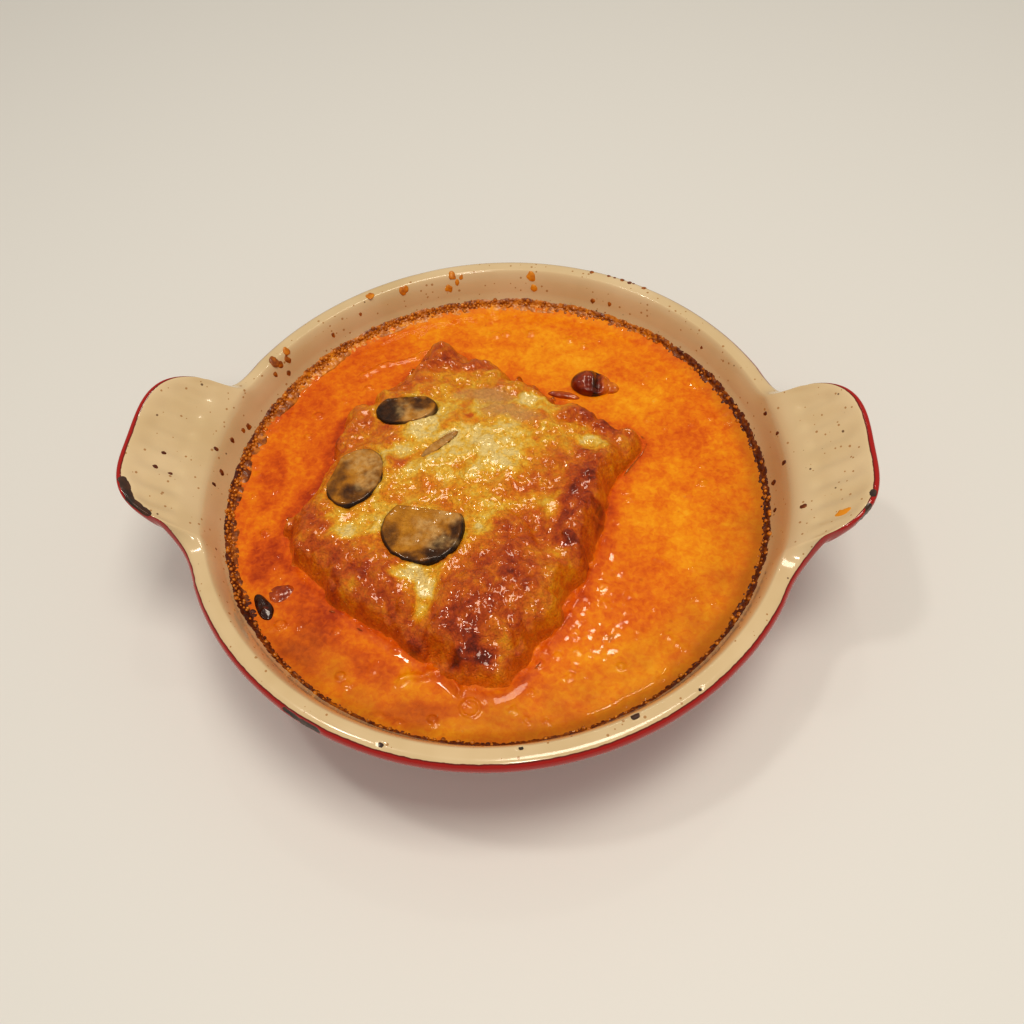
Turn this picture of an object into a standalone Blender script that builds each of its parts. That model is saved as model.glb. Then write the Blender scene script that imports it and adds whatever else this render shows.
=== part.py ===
"""A round eared gratin dish of enamelled cast iron, holding a square portion of lasagna baked in
tomato cream sauce under melted cheese, with slices of mushroom on top.

Frame: origin at the centre of the dish's flat base, +X along the ears, +Z up. Units are metres.
Every piece is lofted from rings, because the sections are unlike: the dish's rim swells into two
ears, and the food's outline is uneven.
"""

import math

import bmesh
import bpy
from mathutils import Vector

MM = 0.001

# --- the dish: one iron casting, enamelled all over ---
RIM_HEIGHT = 45 * MM        # crest of the rolled rim
RIM_RADIUS = 96.1 * MM      # widest point of the rim
RIM_THICKNESS = 5.4 * MM    # the rolled rim and the ears
CREST_RADIUS = 92 * MM      # where the wall has turned over into the rim or an ear
SHOULDER_WIDTH = 1.2 * MM   # inside the crest, where the wall starts to turn
BASE_RADIUS = 62 * MM
FLOOR_HEIGHT = 5 * MM
FLOOR_RADIUS = 60 * MM
WALL_ROOT = (74.2 * MM, 13 * MM)    # inner wall: radius and height where the floor's curve ends
WALL_TOP = (87.1 * MM, 36.6 * MM)   # inner wall: where the straight flare ends, below the rim
WALL_THICKNESS = 4.6 * MM           # measured level, so 4 mm of iron across the flare

# --- the two ears: a conical flange that goes on rising from the rim ---
EAR_REACH = 112.5 * MM      # from the centre to the tip of an ear, along X
EAR_HALF_WIDTH = 29 * MM
EAR_ROOT = 85.3 * MM        # where the ear's outline would close inside the wall
EAR_POWER = 3.1             # superellipse power of the outline: 2 is an ellipse, more is squarer
EAR_SLOPE = 0.75            # rise for each unit outwards
EAR_BOW = 2.5 * MM          # how far the ear's two sides stand over its middle
EAR_BLEND = 5.5 * MM        # how far past the rim the slope takes to come in
NECK_ANGLE = math.radians(27.5)     # where the ear's neck leaves the round rim
NECK_REACH = 100 * MM               # X at which the neck's curve runs into the ear's side
TIP_ANGLE = math.radians(16)        # the columns inside this angle run to the ear's outer edge
TIP_HALF_WIDTH = 24.5 * MM
FLUTES = 7                  # grip flutes across the part of the ear inside TIP_ANGLE
FLUTE_DEPTH = 0.9 * MM
FLUTE_START = 95 * MM
FLUTE_FADE = 4 * MM         # how far the flutes take to reach their depth
FLUTE_BORDER = 7 * MM       # plain border between the flutes and the ear's edge

# --- the sauce ---
SAUCE_LEVEL = 32 * MM
MENISCUS = 1.0 * MM         # how far the sauce climbs the wall
CLEARANCE = 0.35 * MM       # kept between neighbouring pieces
SAUCE_CLEARANCE = 0.6 * MM  # and between the sauce's facets and the dish's

# --- the lasagna: a square portion, about 90 mm a side, whose four corners lie unevenly ---
PORTION_CENTRE = (-9 * MM, -4 * MM)
PORTION_OUTLINE = [         # millimetres, anticlockwise from the right corner
    (48, 21), (33, 29), (9, 43), (-10, 54), (-25, 60), (-37, 42), (-53, 28), (-57, 3),
    (-67, -19), (-57, -36), (-25, -57), (4, -71), (20, -53), (34, -22), (38, 2),
]
PORTION_RISE = 11.5 * MM    # height of the top over the sauce, before the humps below
SHOULDER = 9 * MM           # how far in from the edge the top levels off
WAIST_SHARE = 0.97          # the portion's sides lean in a little below the sauce
WAIST_HEIGHT = 18 * MM
FOOT_SHARE = 0.80           # where it stands on the dish's floor
HUMPS = [                   # x, y, half-length, half-width, turn in degrees, height; mm
    (2, -44, 22, 15, 75, 3.0),      # near hump of browned cheese
    (-40, -36, 19, 12, -30, 1.8),   # left hump
    (-17, -47, 13, 4, 75, -3.0),    # hollow between the two
    (-8, 10, 26, 20, 15, 2.4),      # crown under the pale cheese
    (28, -11, 18, 7, 78, 2.4),      # ridge down the right side
    (18, -23, 15, 4, -54, -2.2),    # crease inside that ridge
    (-24, 53, 7, 6, 0, 2.2),        # far corner, standing up
    (-14, 49, 5, 5, 0, -1.4),       # dip beside it
    (-6, 48, 5, 4, 0, 1.0),         # and the small bump after that
    (42, 18, 9, 7, -20, -3.0),      # right corner, sinking into the sauce
    (33, 25, 11, 3, -14, 2.2),      # lip along that corner's far edge
    (28, 14, 7, 5, -15, -1.8),      # hollow in front of the lip
    (-60, -21, 8, 7, 20, -1.0),     # left corner
    (4, -63, 11, 10, 75, -5.0),     # near corner, sinking into the sauce
    (-44, 18, 12, 14, 0, -1.6),     # left slope
]

# --- mushroom slices: x, y, half-length, half-width, turn, thickness, share cut off flat; mm ---
MUSHROOMS = {
    "mushroom_front": (-20, -24, 13.0, 11.5, -8, 5.0, 0.35),
    "mushroom_left": (-43.5, -4, 11.5, 8.6, 74, 4.8, 0.10),
    "mushroom_back": (-31, 24, 10.2, 6.8, 4, 4.6, 0.25),
    "mushroom_sliver": (-17.6, 9.3, 7.6, 1.7, 42, 3.4, 0.0),
}
MUSHROOM_SINK = 2.4 * MM    # how deep a slice has sunk into the cheese
FRIED_NUB = (30, 46, 7.0, 5.2, -10, 5.6, 0.0)       # a knob of fried cheese: as a mushroom

# --- how finely the rings are divided ---
EAR_SIDE_COLUMNS = 5        # from the ear's outer edge round its corner to the rim
RIM_COLUMNS = 18            # round the rim between the ears
FOOD_COLUMNS = 64
SLICE_COLUMNS = 16

ENAMEL_CREAM = (0.62, 0.49, 0.33, 1)
SAUCE_ORANGE = (0.80, 0.27, 0.02, 1)
CHEESE_BROWN = (0.62, 0.27, 0.06, 1)
MUSHROOM_OLIVE = (0.25, 0.17, 0.05, 1)
FRIED_BROWN = (0.36, 0.10, 0.02, 1)


def smooth(low, high, x):
    """0 below low, 1 above high, easing between."""
    t = min(1.0, max(0.0, (x - low) / (high - low)))
    return t * t * (3 - 2 * t)


def mix(a, b, t):
    return a + (b - a) * t


# ---------------------------------------------------------------- the dish

def ear_outline(steps=200):
    """Half of an ear's outline in plan, from the middle of its outer edge to the round rim."""
    def side(t):
        reach = EAR_ROOT + (EAR_REACH - EAR_ROOT) * abs(math.cos(t)) ** (2 / EAR_POWER)
        return Vector((reach, EAR_HALF_WIDTH * math.sin(t) ** (2 / EAR_POWER)))

    points = [side(math.pi / 2 * i / steps) for i in range(steps)]
    points = [p for p in points if p.x >= NECK_REACH]
    start = points[-1]
    end = Vector((math.cos(NECK_ANGLE), math.sin(NECK_ANGLE))) * RIM_RADIUS
    corner = Vector((math.sqrt(RIM_RADIUS ** 2 - start.y ** 2), start.y))
    neck = 24
    for i in range(1, neck + 1):
        t = i / neck
        points.append(start * (1 - t) ** 2 + corner * 2 * t * (1 - t) + end * t * t)
    return points


def lengths(points):
    total = [0.0]
    for a, b in zip(points, points[1:]):
        total.append(total[-1] + (b - a).length)
    return total


def at_length(points, total, wanted):
    for i in range(1, len(points)):
        if total[i] >= wanted:
            t = (wanted - total[i - 1]) / (total[i] - total[i - 1])
            return points[i - 1].lerp(points[i], t)
    return points[-1]


EAR = ear_outline()
EAR_LENGTHS = lengths(EAR)
TIP_LENGTH = next(s for p, s in zip(EAR, EAR_LENGTHS) if p.y >= TIP_HALF_WIDTH)


def rim_point(angle):
    """The dish's outline in plan, for the column that starts on the inner wall at this angle."""
    away = math.atan2(math.sin(angle), math.cos(angle))     # from the +X ear, -pi to pi
    side = 1 if abs(away) <= math.pi / 2 else -1
    off = abs(away) if side == 1 else math.pi - abs(away)
    if off >= NECK_ANGLE:
        return Vector((math.cos(angle), math.sin(angle))) * RIM_RADIUS
    if off <= TIP_ANGLE:
        wanted = TIP_LENGTH * off / TIP_ANGLE
    else:
        wanted = mix(TIP_LENGTH, EAR_LENGTHS[-1], (off - TIP_ANGLE) / (NECK_ANGLE - TIP_ANGLE))
    p = at_length(EAR, EAR_LENGTHS, wanted)
    return Vector((p.x * side, math.copysign(p.y, away)))


def flute(angle, radius, edge):
    """Depth of the grip flutes: they follow the columns and fade towards the ear's border."""
    off = abs(math.atan2(math.sin(angle), math.cos(angle)))
    off = min(off, math.pi - off)
    wave = 0.5 + 0.5 * math.cos(math.pi * FLUTES * off / TIP_ANGLE)
    inner = smooth(FLUTE_START, FLUTE_START + FLUTE_FADE, radius)
    outer = smooth(FLUTE_BORDER - FLUTE_FADE, FLUTE_BORDER, edge)
    return FLUTE_DEPTH * wave * inner * outer * smooth(TIP_ANGLE * 1.2, TIP_ANGLE, off)


def turned(angle, radius, height):
    return Vector((math.cos(angle) * radius, math.sin(angle) * radius, height))


def floor_curve(share):
    """Radius and height on the curve from the floor (share 0) up to the wall (share 1)."""
    turn = share * math.pi / 2
    radius = mix(FLOOR_RADIUS, WALL_ROOT[0], math.sin(turn) ** 0.9)
    return radius, mix(FLOOR_HEIGHT, WALL_ROOT[1], 1 - math.cos(turn))


def dish_section(angle):
    """One section of the dish, from mid-floor up, over the rim or ear and down to mid-base."""
    outline = rim_point(angle)
    start = turned(angle, WALL_TOP[0], 0).xy
    span = (outline - start).length
    roll = RIM_THICKNESS / 2
    raised = smooth(0, EAR_BLEND, outline.length - RIM_RADIUS)

    def flange(edge, top):
        """A point this far inside the outline, on the top or the underside of the rim or ear."""
        plan = outline.lerp(start, edge / span)
        radius = plan.length
        bow = EAR_BOW * (plan.y / EAR_HALF_WIDTH) ** 2
        crest = RIM_HEIGHT + raised * (EAR_SLOPE * (radius - CREST_RADIUS) + bow)
        fall = roll - math.sqrt(max(0.0, roll ** 2 - max(0.0, roll - edge) ** 2))
        if not top:
            return Vector((*plan, crest - RIM_THICKNESS + fall))
        turn_start = CREST_RADIUS - SHOULDER_WIDTH
        bend = max(0.0, turn_start - radius) / (turn_start - WALL_TOP[0])
        fall += (crest - WALL_TOP[1]) * bend ** 1.6
        return Vector((*plan, crest - fall - flute(angle, radius, edge)))

    points = [turned(angle, 0, FLOOR_HEIGHT)]
    points += [turned(angle, *floor_curve(i / 4)) for i in range(4)]
    points += [turned(angle, *WALL_ROOT)]
    points += [flange(mix(roll, span, t), True) for t in (1, 0.8, 0.62, 0.46, 0.3, 0.15)]
    round_edge = [roll * (1 - math.cos(math.pi / 2 * t)) for t in (1, 0.68, 0.36)]
    points += [flange(edge, True) for edge in round_edge]
    points += [flange(0, True)]
    points += [flange(edge, False) for edge in reversed(round_edge)]
    points += [flange(mix(roll, outline.length - CREST_RADIUS, 0.5), False)]
    foot = (WALL_ROOT[0] + WALL_THICKNESS, WALL_ROOT[1])
    points += [turned(angle, WALL_TOP[0] + WALL_THICKNESS, WALL_TOP[1]), turned(angle, *foot)]
    for i in range(1, 4):       # the base's curve
        turn = i / 3 * math.pi / 2
        points.append(turned(angle, mix(foot[0], BASE_RADIUS, 1 - math.cos(turn)),
                             mix(foot[1], 0, math.sin(turn))))
    return points + [turned(angle, 0, 0)]


def dish_angles():
    """Column angles: two to a flute on the ears, closer round their corners, even elsewhere."""
    quarter = [TIP_ANGLE * i / FLUTES for i in range(FLUTES + 1)]
    quarter += [mix(TIP_ANGLE, NECK_ANGLE, (i + 1) / EAR_SIDE_COLUMNS)
                for i in range(EAR_SIDE_COLUMNS)]
    half = quarter + [mix(NECK_ANGLE, math.pi / 2, (i + 1) / (RIM_COLUMNS / 2))
                      for i in range(RIM_COLUMNS // 2)]
    full = half + [math.pi - a for a in reversed(half[:-1])]
    return full + [math.tau - a for a in reversed(full[1:-1])]


# ---------------------------------------------------------------- the food

def closed_curve(points, count):
    """Points evenly spaced on a smooth closed curve through these points, in metres."""
    dense = []
    n = len(points)
    for i in range(n):
        p0, p1, p2, p3 = (Vector(points[(i + k) % n]) * MM for k in (-1, 0, 1, 2))
        for j in range(12):
            t = j / 12
            dense.append(0.5 * (2 * p1 + (p2 - p0) * t + (2 * p0 - 5 * p1 + 4 * p2 - p3) * t ** 2
                                + (3 * p1 - p0 - 3 * p2 + p3) * t ** 3))
    dense.append(dense[0].copy())
    total = lengths(dense)
    return [at_length(dense, total, total[-1] * i / count) for i in range(count)]


def edge_distance(outline, x, y):
    """How far a point lies inside a closed outline."""
    here = Vector((x, y))
    best = 1.0
    for i, a in enumerate(outline):
        along = outline[(i + 1) % len(outline)] - a
        t = min(1.0, max(0.0, (here - a).dot(along) / along.length_squared))
        best = min(best, (here - a - along * t).length)
    return best


def humps(x, y):
    """The portion's large relief: soft mounds and hollows."""
    total = 0.0
    for cx, cy, long, wide, turn, height in HUMPS:
        a = math.radians(turn)
        dx, dy = x / MM - cx, y / MM - cy
        u = (dx * math.cos(a) + dy * math.sin(a)) / long
        v = (dy * math.cos(a) - dx * math.sin(a)) / wide
        total += height * MM * math.exp(-(u * u + v * v) * 1.4)
    return total


def portion_height(outline, x, y):
    """Height of the lasagna's top: a steep shoulder at the edge, then the humps."""
    t = min(1.0, edge_distance(outline, x, y) / SHOULDER)
    rise = (1 - (1 - t) ** 2.4) ** 0.85
    return SAUCE_LEVEL - 0.5 * MM + (PORTION_RISE + humps(x, y)) * rise


def slice_outline(spec, count, grow=0.0):
    """Outline in plan of a mushroom slice: an oval with a share of one side cut off flat."""
    cx, cy, long, wide, turn, _, cut = spec
    a = math.radians(turn)
    points = []
    for i in range(count):
        t = math.tau * i / count
        u = (long + grow / MM) * math.cos(t)
        v = (wide + grow / MM) * min(math.sin(t), 1 - cut)
        points.append(Vector((cx + u * math.cos(a) - v * math.sin(a),
                              cy + u * math.sin(a) + v * math.cos(a))) * MM)
    return points


# ---------------------------------------------------------------- making the solids

def solid_from_rings(name, rings, colour, roughness, metallic=0.0):
    """A closed solid through rings of equal count. A ring of one point is a pole."""
    mesh = bmesh.new()
    rows = [[mesh.verts.new(p) for p in ring] for ring in rings]
    count = max(len(r) for r in rows)
    closed = len(rows[0]) > 1
    pairs = list(zip(rows, rows[1:])) + ([(rows[-1], rows[0])] if closed else [])
    for a, b in pairs:
        for i in range(count):
            j = (i + 1) % count
            corners = [a[i % len(a)], a[j % len(a)], b[j % len(b)], b[i % len(b)]]
            mesh.faces.new(list(dict.fromkeys(corners)))
    bmesh.ops.recalc_face_normals(mesh, faces=mesh.faces)
    data = bpy.data.meshes.new(name)
    mesh.to_mesh(data)
    mesh.free()
    data.shade_smooth()
    data.materials.append(finish(name, colour, roughness, metallic))
    return bpy.data.objects.new(name, data)


def finish(name, colour, roughness, metallic):
    material = bpy.data.materials.new(name)
    material.use_nodes = True
    shader = material.node_tree.nodes["Principled BSDF"]
    shader.inputs["Base Color"].default_value = colour
    shader.inputs["Roughness"].default_value = roughness
    shader.inputs["Metallic"].default_value = metallic
    return material


def make_dish():
    sections = [dish_section(a) for a in dish_angles()]
    last = len(sections[0]) - 1
    rings = [[s[k] for s in sections] for k in range(1, last)]
    rings = [[sections[0][0]]] + rings + [[sections[0][last]]]
    return solid_from_rings("gratin_dish", rings, ENAMEL_CREAM, 0.2)


def wall_radius(height):
    """Radius of the dish's straight inner wall at a height."""
    t = (height - WALL_ROOT[1]) / (WALL_TOP[1] - WALL_ROOT[1])
    return mix(WALL_ROOT[0], WALL_TOP[0], t)


def ring_at(plan, height):
    """A ring of points in plan, given one height or a function of x and y."""
    return [Vector((*p, height(*p) if callable(height) else height)) for p in plan]


def make_lasagna(outline):
    centre = Vector(PORTION_CENTRE)

    def top(x, y):
        return portion_height(outline, x, y)

    shares = (0.14, 0.27, 0.39, 0.5, 0.6, 0.69, 0.77, 0.84, 0.9, 0.945, 0.975, 1.0)
    floor = FLOOR_HEIGHT + CLEARANCE
    rings = [ring_at([centre], top)]
    rings += [ring_at([centre.lerp(p, share) for p in outline], top) for share in shares]
    rings.append(ring_at([centre.lerp(p, WAIST_SHARE) for p in outline], WAIST_HEIGHT))
    rings.append(ring_at([centre.lerp(p, FOOT_SHARE) for p in outline], floor))
    rings.append(ring_at([centre], floor))
    return solid_from_rings("lasagna", rings, CHEESE_BROWN, 0.35)


def make_sauce(outline):
    """The sauce round the portion: a ring that fills the dish from floor to level."""
    centre = Vector(PORTION_CENTRE)
    away = [(p - centre).normalized() * CLEARANCE * 2 for p in outline]
    bearing = [math.atan2(p.y, p.x) for p in outline]

    def beside(share):
        return [centre.lerp(p, share) + a for p, a in zip(outline, away)]

    def against_dish(radius, height):
        return [turned(b, radius - SAUCE_CLEARANCE, height) for b in bearing]

    inner_edge = beside(1.0)
    outer_edge = [p.xy for p in against_dish(wall_radius(SAUCE_LEVEL + MENISCUS), 0)]
    rings = []
    for share in (0, 0.2, 0.5, 0.8, 0.93, 1):
        plan = [a.lerp(b, share) for a, b in zip(inner_edge, outer_edge)]
        rings.append(ring_at(plan, SAUCE_LEVEL + MENISCUS * smooth(0.8, 1, share)))
    rings.append(against_dish(*WALL_ROOT))
    for share in (0.75, 0.5, 0.25, 0):
        radius, height = floor_curve(share)
        rings.append(against_dish(radius, height + CLEARANCE))
    rings.append(ring_at(beside(FOOT_SHARE), FLOOR_HEIGHT + CLEARANCE))
    rings.append(ring_at(beside(WAIST_SHARE), WAIST_HEIGHT))
    return solid_from_rings("sauce", rings, SAUCE_ORANGE, 0.15)


def slice_rings(spec, ground, sink, grow=0.0):
    """Rings of a slice that follows the surface under it, with rounded edges."""
    centre = Vector(spec[:2]) * MM
    edge = slice_outline(spec, SLICE_COLUMNS, grow)
    low, high = -sink - grow, spec[5] * MM - sink + grow
    profile = ((0.45, 0.98), (0.8, 0.9), (0.96, 0.76), (1.0, 0.6), (1.0, 0.2), (0.9, 0))
    rings = [ring_at([centre], ground(*centre) + high)]
    for share, level in profile:
        def height(x, y, level=level):
            return ground(x, y) + mix(low, high, level)

        rings.append(ring_at([centre.lerp(p, share) for p in edge], height))
    rings.append(ring_at([centre], ground(*centre) + low))
    return rings


def subtract(target, cutter):
    """Cuts a pocket, and applies it at once so that the cutter needn't stay."""
    bpy.context.scene.collection.objects.link(cutter)
    cut = target.modifiers.new("pocket", "BOOLEAN")
    cut.operation = "DIFFERENCE"
    cut.solver = "EXACT"
    cut.object = cutter
    bpy.context.view_layer.update()
    shown = target.evaluated_get(bpy.context.evaluated_depsgraph_get())
    data = bpy.data.meshes.new_from_object(shown)
    target.modifiers.clear()
    target.data = data
    bpy.data.objects.remove(cutter)


def make_slices(lasagna, outline):
    """Mushroom slices, each in a pocket of its own in the cheese."""
    def ground(x, y):
        return portion_height(outline, x, y)

    made = []
    for name, spec in MUSHROOMS.items():
        pocket = slice_rings(spec, ground, MUSHROOM_SINK, CLEARANCE)
        subtract(lasagna, solid_from_rings(name + "_pocket", pocket, MUSHROOM_OLIVE, 0.4))
        rings = slice_rings(spec, ground, MUSHROOM_SINK)
        made.append(solid_from_rings(name, rings, MUSHROOM_OLIVE, 0.4))
    return made


def make_nub():
    def ground(x, y):
        return SAUCE_LEVEL

    rings = slice_rings(FRIED_NUB, ground, -CLEARANCE)
    return solid_from_rings("fried_nub", rings, FRIED_BROWN, 0.3)


def main():
    for old in list(bpy.data.objects):
        bpy.data.objects.remove(old)
    parts = bpy.data.collections.new("lasagna_in_gratin_dish")
    bpy.context.scene.collection.children.link(parts)
    outline = closed_curve(PORTION_OUTLINE, FOOD_COLUMNS)
    lasagna = make_lasagna(outline)
    parts.objects.link(lasagna)
    for piece in [make_dish(), make_sauce(outline), make_nub()] + make_slices(lasagna, outline):
        parts.objects.link(piece)


main()
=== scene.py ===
"""Looks of a lasagna baked in its own gratin dish: enamelled cast iron, tomato cream sauce with a
baked crust round the wall, a browned cheese top, mushroom slices and a knob of fried cheese.

Frame: origin at the centre of the dish's flat base, +X along the ears, +Z up. Units are metres.
"""
import math

import bpy
import numpy as np
from mathutils import Matrix, Vector


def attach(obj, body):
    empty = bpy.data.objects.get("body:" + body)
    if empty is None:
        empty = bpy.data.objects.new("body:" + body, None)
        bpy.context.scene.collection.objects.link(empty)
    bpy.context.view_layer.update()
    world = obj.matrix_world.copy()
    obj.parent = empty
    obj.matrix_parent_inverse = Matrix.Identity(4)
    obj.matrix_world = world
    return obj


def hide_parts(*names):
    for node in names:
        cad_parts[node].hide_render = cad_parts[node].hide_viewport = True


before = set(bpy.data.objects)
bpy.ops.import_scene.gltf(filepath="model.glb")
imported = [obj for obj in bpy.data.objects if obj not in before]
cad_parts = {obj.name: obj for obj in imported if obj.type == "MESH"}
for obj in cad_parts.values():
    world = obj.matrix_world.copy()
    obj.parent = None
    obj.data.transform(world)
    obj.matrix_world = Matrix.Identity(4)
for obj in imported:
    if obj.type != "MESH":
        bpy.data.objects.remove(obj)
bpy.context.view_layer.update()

MM = 0.001

# --- the dish, as in the part's source ---
RIM_HEIGHT = 45 * MM
RIM_RADIUS = 96.1 * MM
RIM_THICKNESS = 5.4 * MM
CREST_RADIUS = 92 * MM
SHOULDER_WIDTH = 1.2 * MM
BASE_RADIUS = 62 * MM
FLOOR_HEIGHT = 5 * MM
FLOOR_RADIUS = 60 * MM
WALL_ROOT = (74.2 * MM, 13 * MM)
WALL_TOP = (87.1 * MM, 36.6 * MM)
WALL_THICKNESS = 4.6 * MM
EAR_REACH = 112.5 * MM
EAR_HALF_WIDTH = 29 * MM
EAR_ROOT = 85.3 * MM
EAR_POWER = 3.1
EAR_SLOPE = 0.75
EAR_BOW = 2.5 * MM
EAR_BLEND = 5.5 * MM
NECK_ANGLE = math.radians(27.5)
NECK_REACH = 100 * MM
TIP_ANGLE = math.radians(16)
TIP_HALF_WIDTH = 24.5 * MM
FLUTES = 7
FLUTE_DEPTH = 0.9 * MM
FLUTE_START = 95 * MM
FLUTE_FADE = 4 * MM
FLUTE_BORDER = 7 * MM

# --- the food, as in the part's source ---
SAUCE_LEVEL = 32 * MM
MENISCUS = 1.0 * MM
CLEARANCE = 0.35 * MM
PORTION_CENTRE = (-9 * MM, -4 * MM)
PORTION_OUTLINE = [
    (48, 21), (33, 29), (9, 43), (-10, 54), (-25, 60), (-37, 42), (-53, 28), (-57, 3),
    (-67, -19), (-57, -36), (-25, -57), (4, -71), (20, -53), (34, -22), (38, 2),
]
PORTION_RISE = 11.5 * MM
SHOULDER = 9 * MM
WAIST_SHARE = 0.97
WAIST_HEIGHT = 18 * MM
FOOT_SHARE = 0.80
HUMPS = [                   # x, y, half-length, half-width, turn in degrees, height; mm
    (2, -44, 22, 15, 75, 3.0), (-40, -36, 19, 12, -30, 1.8), (-17, -47, 13, 4, 75, -3.0),
    (-8, 10, 26, 20, 15, 2.4), (28, -11, 18, 7, 78, 2.4), (18, -23, 15, 4, -54, -2.2),
    (-24, 53, 7, 6, 0, 2.2), (-14, 49, 5, 5, 0, -1.4), (-6, 48, 5, 4, 0, 1.0),
    (42, 18, 9, 7, -20, -3.0), (33, 25, 11, 3, -14, 2.2), (28, 14, 7, 5, -15, -1.8),
    (-60, -21, 8, 7, 20, -1.0), (4, -63, 11, 10, 75, -5.0), (-44, 18, 12, 14, 0, -1.6),
]
# the slices lie a little beside their plain solids, where the cheese closes round them
MUSHROOMS = {               # x, y, half-length, half-width, turn, thickness, share cut flat; mm
    "mushroom_front": (-19.6, -22.8, 13.0, 12.4, -8, 5.0, 0.40),
    "mushroom_left": (-43.2, -3.6, 12.0, 8.8, 74, 4.8, 0.10),
    "mushroom_back": (-30.6, 24.6, 10.4, 6.6, 4, 4.6, 0.25),
    "mushroom_sliver": (-17.6, 9.3, 7.6, 1.7, 42, 3.4, 0.0),
}
MUSHROOM_SINK = 2.4 * MM
FRIED_NUB = (30, 46, 7.0, 5.2, -10, 5.6, 0.0)


# ---------------------------------------------------------------- sums on arrays of points

def smooth(low, high, x):
    """0 at low, 1 at high, easing between."""
    t = np.clip((x - low) / (high - low), 0, 1)
    return t * t * (3 - 2 * t)


def mix(a, b, t):
    return a + (b - a) * t


TILT = np.array(Matrix.Rotation(0.7, 3, "X") @ Matrix.Rotation(0.5, 3, "Y")
                @ Matrix.Rotation(0.9, 3, "Z"))
CORNERS = [np.array((i, j, k)) for i in (0, 1) for j in (0, 1) for k in (0, 1)]


def hashed(cell, seed):
    """A repeatable random number from 0 to 1 for each whole-numbered cell."""
    n = cell[:, 0] * 73856093 ^ cell[:, 1] * 19349663 ^ cell[:, 2] * 83492791 ^ seed * 6542989
    for shift, factor in ((15, 0x2C1B3C6D), (12, 0x297A2D39)):
        n &= 0x7FFFFFFF
        n = (n ^ n >> shift) * factor
    n &= 0x7FFFFFFF
    return (n ^ n >> 15) / 0x7FFFFFFF


def lumps(points, size, seed, octaves=1):
    """Smooth noise from -1 to 1 in lumps of this size, with finer ones on top."""
    total = np.zeros(len(points))
    weight = 0.0
    for octave in range(octaves):
        place = points @ TILT * (2 ** octave / size)
        cell = np.floor(place).astype(np.int64)
        part = place - cell
        part = part * part * (3 - 2 * part)
        strength = 0.5 ** octave
        for corner in CORNERS:
            share = np.prod(np.where(corner == 1, part, 1 - part), axis=1)
            total += strength * share * (2 * hashed(cell + corner, seed + octave) - 1)
        weight += strength
    return total / weight


def domes(u, v, size, seed, smallest=0.35, largest=0.75):
    """Scattered domes: height from 0 to 1, and a random number for each point's nearest dome."""
    place = np.stack([u, v], axis=1) / size
    home = np.floor(place).astype(np.int64)
    best = np.full(len(place), -1.0)
    own = np.zeros(len(place))
    for i in (-1, 0, 1):
        for j in (-1, 0, 1):
            cell = np.column_stack([home + (i, j), np.full(len(place), 7)])
            gap = np.hypot(cell[:, 0] + hashed(cell, seed) - place[:, 0],
                           cell[:, 1] + hashed(cell, seed + 1) - place[:, 1])
            pick = hashed(cell, seed + 2)
            radius = mix(smallest, largest, pick)
            height = (1 - (gap / radius) ** 2) * radius / largest
            taller = height > best
            best = np.where(taller, height, best)
            own = np.where(taller, pick, own)
    return np.sqrt(np.maximum(best, 0)), own


def in_oval(x, y, cx, cy, long, wide, turn):
    """Each point's place in a turned oval, as shares of its half-length and half-width."""
    a = math.radians(turn)
    dx, dy = x / MM - cx, y / MM - cy
    u = (dx * math.cos(a) + dy * math.sin(a)) / long
    v = (dy * math.cos(a) - dx * math.sin(a)) / wide
    return u, v


def patches(x, y, spots):
    """How far a point lies in any of these soft ovals: x, y, half-length, half-width, turn, strength."""
    most = np.zeros(len(x))
    for *oval, strength in spots:
        most = np.maximum(most, strength * smooth(1.35, 0.6, np.hypot(*in_oval(x, y, *oval))))
    return most


def line_gap(x, y, points):
    """Distance from each point in plan to a line through these points, given in mm."""
    best = np.full(len(x), 1.0)
    for a, b in zip(points, points[1:]):
        a, b = np.array(a) * MM, np.array(b) * MM
        along = b - a
        t = ((x - a[0]) * along[0] + (y - a[1]) * along[1]) / (along @ along)
        t = np.clip(t, 0, 1)
        best = np.minimum(best, np.hypot(x - a[0] - along[0] * t, y - a[1] - along[1] * t))
    return best


def closed_curve(points, count):
    """Points evenly spaced on a smooth closed curve through these points, given in mm."""
    p = np.array(points) * MM
    t = np.arange(24)[:, None] / 24
    dense = []
    for i in range(len(p)):
        p0, p1, p2, p3 = (p[(i + k) % len(p)] for k in (-1, 0, 1, 2))
        dense.append(0.5 * (2 * p1 + (p2 - p0) * t + (2 * p0 - 5 * p1 + 4 * p2 - p3) * t ** 2
                            + (3 * p1 - p0 - 3 * p2 + p3) * t ** 3))
    dense = np.concatenate(dense + [dense[0][:1]])
    along = np.concatenate([[0], np.cumsum(np.linalg.norm(np.diff(dense, axis=0), axis=1))])
    wanted = np.linspace(0, along[-1], count, endpoint=False)
    return np.stack([np.interp(wanted, along, dense[:, k]) for k in (0, 1)], axis=1)


def grid_normals(grid):
    """Unit normals of a grid of points whose columns run round, upwards or outwards."""
    around = np.roll(grid, -1, axis=1) - np.roll(grid, 1, axis=1)
    normal = np.cross(np.gradient(grid, axis=0), around)
    size = np.linalg.norm(normal, axis=2, keepdims=True)
    normal = np.where(size > 1e-12, normal / np.maximum(size, 1e-12), (0.0, 0.0, 1.0))
    return normal * (1 if normal[..., 2].sum() > 0 else -1)


# ---------------------------------------------------------------- making meshes

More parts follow.
